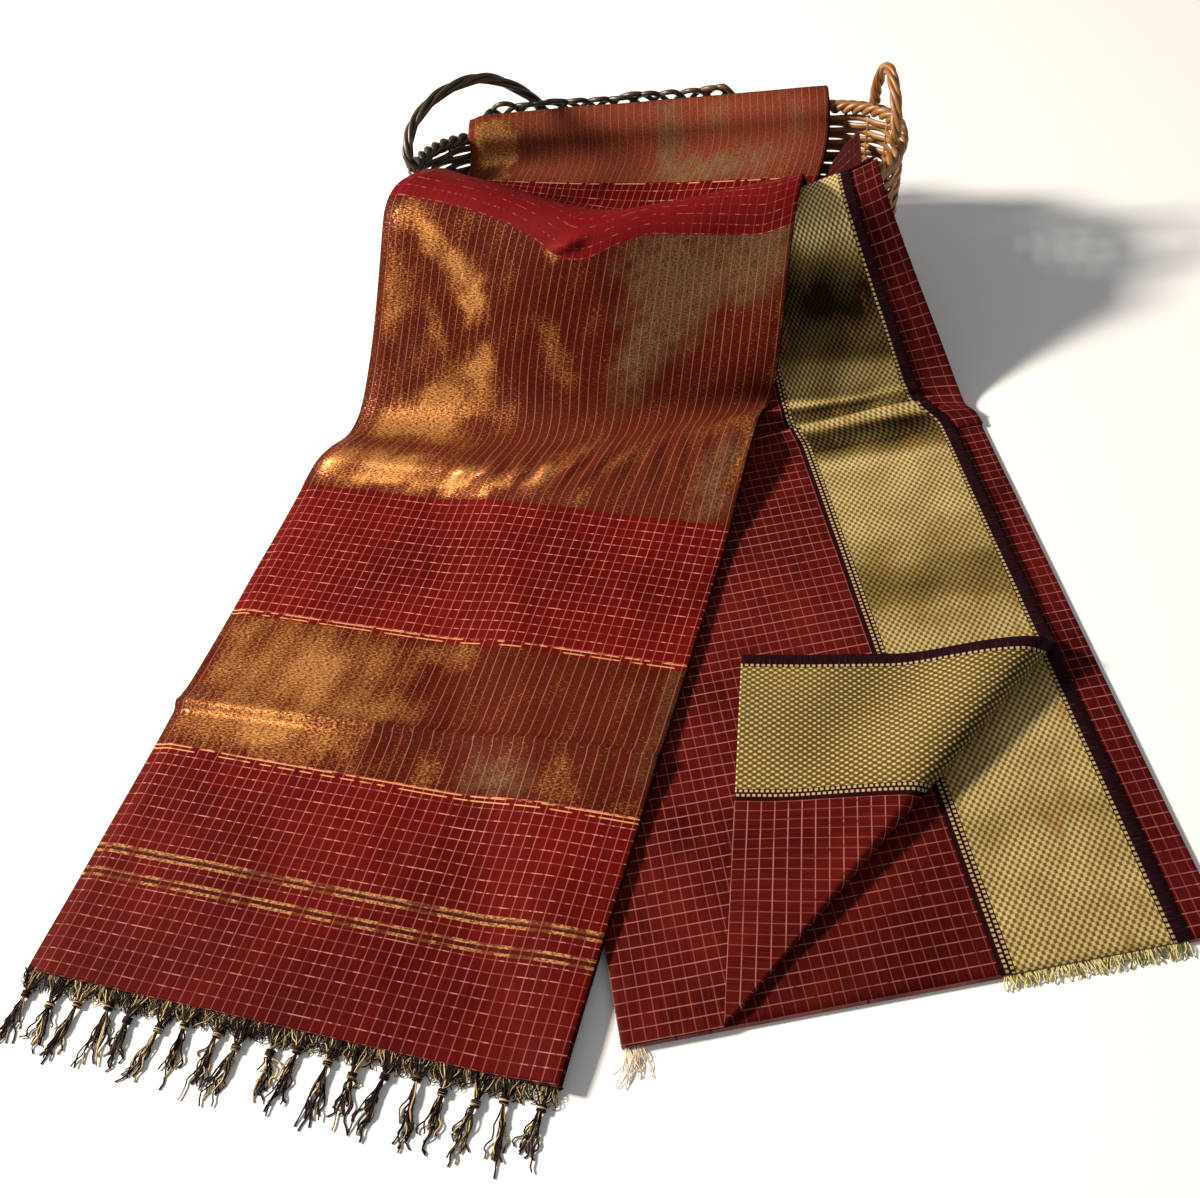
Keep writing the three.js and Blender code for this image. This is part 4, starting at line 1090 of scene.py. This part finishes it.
# %% The twisted rim and the handles
TWISTS, RIM_STEPS, RIM_OUT = 34, 544, 2.7
round_rim = np.arange(RIM_STEPS) / RIM_STEPS
strands = []
for k in range(3):
    phase = 2 * np.pi * (TWISTS * round_rim + k / 3)
    points, away = oval_away(round_rim, 0)
    x, y = (points + away * (RIM_OUT * np.cos(phase))[:, None]).T
    z = rim_height(points[:, 0]) + RIM_OUT * np.sin(phase)
    strands.append(np.stack([*on_basket(x, y), z], axis=-1))
rim_rings = tubes(strands, 2.3, 8, UP, closed=True)
basket_rim = tube_piece("basket_rim_twist", rim_rings, basket_cane, ["basket_rim"], closed=True)


def smooth_path(points, steps):
    """Curve through points: Catmull-Rom, half of (2b + (c-a)t + (2a-5b+4c-d)t^2 + (3b-a-3c+d)t^3)."""
    p = np.asarray(points, float)
    p = np.concatenate([2 * p[:1] - p[1:2], p, 2 * p[-1:] - p[-2:-1]])
    at = np.linspace(0, len(p) - 3 - 1e-9, steps)
    k = at.astype(int)
    t = (at - k)[:, None]
    a, b, c, d = p[k], p[k + 1], p[k + 2], p[k + 3]
    bend, twist = 2 * a - 5 * b + 4 * c - d, 3 * b - a - 3 * c + d
    return 0.5 * (2 * b + (c - a) * t + bend * t ** 2 + twist * t ** 3)


HANDLES = {
    "basket_handle_left": [
        [-74, 920, 115.5], [-76, 926, 126], [-68, 942, 138], [-46, 960, 146], [-16, 984, 138],
        [12, 999, 112], [24, 1000, 88], [25, 987, 76]],
    "basket_handle_right": [
        [239.5, 853, 113.5], [242, 853, 124], [244, 864, 140], [245, 882, 148], [245, 899, 140],
        [243, 907, 124], [242, 908, 112.5]],
}
HANDLE_STEPS, HANDLE_CANES, HANDLE_OUT = 90, 4, 2.3
for name, points in HANDLES.items():
    middle = smooth_path(points, HANDLE_STEPS)
    across = np.cross(middle[-1] - middle[0], middle[HANDLE_STEPS // 2] - middle[0])
    across = across / np.linalg.norm(across)
    tangent = unit(np.gradient(middle, axis=0))
    beside = unit(np.cross(np.broadcast_to(across, tangent.shape), tangent))
    along = np.linspace(0, 1, HANDLE_STEPS)[:, None]
    loops = []
    for k in range(HANDLE_CANES):
        turn = 2 * np.pi * (k / HANDLE_CANES + 2.5 * along)
        loops.append(middle + HANDLE_OUT * (np.cos(turn) * across + np.sin(turn) * beside))
    tube_piece(name + "_canes", tubes(loops, 1.7, 7, across), basket_cane, [name])

# %% [markdown]
# Behind the cloth's fold, the photo shows a loose dark plait that stands above the far rim. Three
# thin canes swing up and down along it, a third of a turn apart, and sink to the rim at both ends.

# %% The loose plait on the far rim
PLAIT = {"from": -134.0, "to": 66.0, "out": 13.5, "up": 9.0, "swing": 5.5, "wave": 40.0}
plait_at = np.linspace(PLAIT["from"], PLAIT["to"], 120)
sinks = ease((plait_at - PLAIT["from"]) / 20) * ease((PLAIT["to"] - plait_at) / 20)
plait = []
for k in range(3):
    phase = 2 * np.pi * (plait_at / PLAIT["wave"] + k / 3) + 0.5 * np.sin(plait_at / 17 + 2 * k)
    middle = np.array(over_rim(plait_at, 1, PLAIT["out"], 0.0))
    swing = PLAIT["swing"] * (1 + 0.25 * np.sin(plait_at / 23 + k))
    middle[:, 2] += sinks * (PLAIT["up"] + swing * np.sin(phase)) - 4 * (1 - sinks)
    middle[:, 1] += 2.4 * np.cos(2 * phase)
    plait.append(middle)
tube_piece("basket_plait", tubes(plait, 1.9, 7, UP), basket_cane)

# %% [markdown]
# ## Fringe and loose threads
# The warp ends of the decorated end are drawn together into knots, dark threads and nearly as
# many gold ones, and hang on as loose tails. They are many thin tubes with a gentle curl, all
# from one array. A short fuzz of loose ends stands along the edge.

# %% Thread
def thread(name, dark, light, share_light):
    """Dark and light threads: each strand takes its colour from a noise that changes between strands."""
    material, tree, shader = start_material(name, 0.65, Specular_IOR_Level=0.1)
    u, v = cloth_place(tree)
    which = streaks(tree, u, v, 40, 5.0, seed=2.0)
    twist = streaks(tree, u, v, 1.2, 1.2)
    colour = blend(tree, dark, light, remap(tree, which, 1 - share_light, 1.03 - share_light))
    colour = blend(tree, colour, "#0D0706", remap(tree, twist, 0.5, 0.7, 0.0, 0.6))
    tree.links.new(colour, shader.inputs["Base Color"])
    return material


# %% The knotted fringe
KNOTS = {"count": 19, "strands": 13, "at": 12.0, "long": 34.0, "wide": 7.5}
rng = np.random.default_rng(5)
steps = np.linspace(0, 1, 12)


def knot_place(k):
    """A knot's place across the edge and beyond it: even steps with a little wander from sines."""
    across = (k + 0.5) * (WIDTH - 1) / KNOTS["count"] + 1.6 * math.sin(k * 2.9)
    return across, KNOTS["at"] + 3 * math.sin(k * 1.7)


def waved(start, end, centre, lean, size):
    """A strand start + (end - start) t beyond the edge, with two sine waves of its own across it."""
    turns, phase = rng.uniform(1.0, 2.6, 2), rng.uniform(0, 2 * np.pi, 2)
    slow = np.sin(turns[0] * 2 * np.pi * steps + phase[0])
    quick = 0.5 * np.sin(turns[1] * 9 * steps + phase[1])
    waves = size * steps * (slow + quick)
    along = mix(start, end, steps) + 0.8 * np.sin(turns[1] * 5 * steps + phase[0])
    bow = 1.1 * np.sin(np.pi * steps + phase[1]) * rng.random()
    high = np.maximum(0.5, 2.4 - 1.8 * steps * (end > 16) + bow)
    return leg_point(PALLU, -along, centre + lean * steps + waves, high)


def fringe_strands():
    """Strands gathered from the edge into each knot, and wavy tails from the knot on."""
    paths = []
    for k in range(KNOTS["count"]):
        centre, knot = knot_place(k)
        for s in np.linspace(-KNOTS["wide"], KNOTS["wide"], KNOTS["strands"]):
            paths.append(waved(-2, knot, centre + s + 0.4 * rng.standard_normal(), -s, 0.5))
        drift = 3.0 * math.sin(k * 2.3)
        for _ in range(KNOTS["strands"]):
            end = KNOTS["long"] + 5 * rng.standard_normal() + 3 * math.sin(k * 4.1)
            paths.append(waved(knot, end, centre, drift + 3.0 * rng.standard_normal(), 1.3))
    return np.array(paths)


fringe_thread = thread("dark silk ends with gold", "#1E0C09", "#C8AE7A", 0.44)
fringe_rings = tubes(fringe_strands(), 0.42, 5, UP)
pallu_tassels = tube_piece("pallu_tassels", fringe_rings, fringe_thread, ["pallu_fringe"])
knot_turns = []
a = np.linspace(0, 2 * np.pi, 14)[:-1]
for k in range(KNOTS["count"]):
    centre, knot = knot_place(k)
    for shift in (-1.1, 0.0, 1.1):
        beyond = knot + shift + 0.3 * np.sin(a)
        knot_turns.append(leg_point(PALLU, -beyond, centre + 1.9 * np.cos(a), 2.1 + 1.4 * np.sin(a)))
forward = leg_point(PALLU, 1.0, 0, 0) - leg_point(PALLU, 0.0, 0, 0)
knot_rings = tubes(knot_turns, 0.65, 6, forward, closed=True)
pallu_knots = tube_piece("pallu_knots", knot_rings, fringe_thread, closed=True)


def fuzz(leg, first, last, count, long, high, seed, curl=0.6):
    """Short loose ends beyond an edge: start + length t, with a random lean, a curl and a drop."""
    r = np.random.default_rng(seed)
    start = r.uniform(first, last, count)[:, None]
    length = long * r.uniform(0.35, 1.0, count)[:, None]
    lean = r.normal(0, 0.35, count)[:, None]
    t = np.linspace(0, 1, 8)[None, :]
    side = start + lean * length * t + curl * np.sin(7 * t + start) * t
    beyond = length * t - 0.8 + curl * 0.5 * (np.cos(6 * t + start) - np.cos(start)) * t
    return leg_point(leg, -beyond, side, np.maximum(0.5, high * (1 - t * 0.8) + 0.8 * np.sin(np.pi * t)))


edge_ends = fuzz(PALLU, 1, WIDTH - 2, count=760, long=11.0, high=2.8, seed=8, curl=2.0)
edge_fuzz = tube_piece("pallu_edge_threads", tubes(edge_ends, 0.26, 4, UP), fringe_thread)
gold_thread = thread("gold and olive thread ends", "#5E5A22", "#D8C98A", 0.55)
gold_ends = fuzz(BODY, 182, 270, count=190, long=9.0, high=2.0, seed=9)
body_ends = tube_piece("body_thread_ends", tubes(gold_ends, 0.3, 4, UP), gold_thread,
                       ["body_cut_ends"])
pale_thread = thread("pale silk wisp", "#C9B08A", "#F0E4CC", 0.5)
pale_ends = fuzz(BODY, 1, 10, count=26, long=22.0, high=2.0, seed=10)
tube_piece("body_corner_wisp", tubes(pale_ends, 0.2, 4, UP), pale_thread)

# %% [markdown]
# ## Camera, floor and light
# The camera stands where the photo was taken: 660 mm above the floor, tilted down 47.5 degrees
# and rolled 10 degrees, with a 45 mm lens. The light comes from the upper left, as in the photo,
# with a weak broad fill. A plain pale world lights the rest.

# %% Camera
CAMERA = {"high": 660.0, "tilt": 47.5, "roll": 10.0, "lens": 45.0, "sensor": 36.0}  # mm and degrees
camera_data = bpy.data.cameras.new("camera")
camera_data.lens = CAMERA["lens"]
camera_data.sensor_width = CAMERA["sensor"]
camera_data.sensor_fit = "HORIZONTAL"
camera_data.clip_start = 0.01
camera = bpy.data.objects.new("camera", camera_data)
bpy.context.scene.collection.objects.link(camera)
tilt, roll = math.radians(CAMERA["tilt"]), math.radians(CAMERA["roll"])
ahead = np.array([0, math.cos(tilt), -math.sin(tilt)])
right = np.array([1.0, 0, 0])
down = np.cross(ahead, right)
basis = np.eye(4)
basis[:3, 0] = math.cos(roll) * right + math.sin(roll) * down
basis[:3, 1] = math.sin(roll) * right - math.cos(roll) * down
basis[:3, 2] = -ahead
basis[:3, 3] = placed([0, 0, CAMERA["high"]])
camera.matrix_world = Matrix(basis.tolist())
bpy.context.scene.camera = camera

# %% Floor and light
FLOOR_HALF = 4.0  # metres
floor_corners = [(x * FLOOR_HALF, y * FLOOR_HALF, 0) for x, y in ((-1, -1), (1, -1), (1, 1), (-1, 1))]
floor_mesh = bpy.data.meshes.new("floor")
floor_mesh.from_pydata(floor_corners, [], [(0, 1, 2, 3)])
floor = bpy.data.objects.new("floor", floor_mesh)
floor_material, _, floor_shader = start_material("pale painted floor", 0.8)
floor_shader.inputs["Base Color"].default_value = linear("#F2F1EF")
floor_mesh.materials.append(floor_material)
bpy.context.scene.collection.objects.link(floor)


def area_light(name, place, size, power, colour):
    """A square soft light at a place in metres, turned to face the part's origin."""
    data = bpy.data.lights.new(name, "AREA")
    data.size, data.energy, data.color = size, power, linear(colour)[:3]
    lamp = bpy.data.objects.new(name, data)
    toward = unit(np.array(place, float))
    side = unit(np.cross(UP, toward))
    turn = np.eye(4)
    turn[:3, 0], turn[:3, 1], turn[:3, 2] = side, np.cross(toward, side), toward
    turn[:3, 3] = place
    lamp.matrix_world = Matrix(turn.tolist())
    bpy.context.scene.collection.objects.link(lamp)


area_light("key", place=(-2.2, 0.62, 1.65), size=0.42, power=176, colour="#FFF6EA")
area_light("fill", place=(0.9, -1.5, 1.7), size=1.6, power=5, colour="#F2F4FF")
world = bpy.data.worlds.new("studio")
world.use_nodes = True
background = world.node_tree.nodes["Background"]
background.inputs["Color"].default_value = linear("#F6F6F6")
background.inputs["Strength"].default_value = 0.27
bpy.context.scene.world = world
bpy.context.scene.view_settings.view_transform = "Standard"
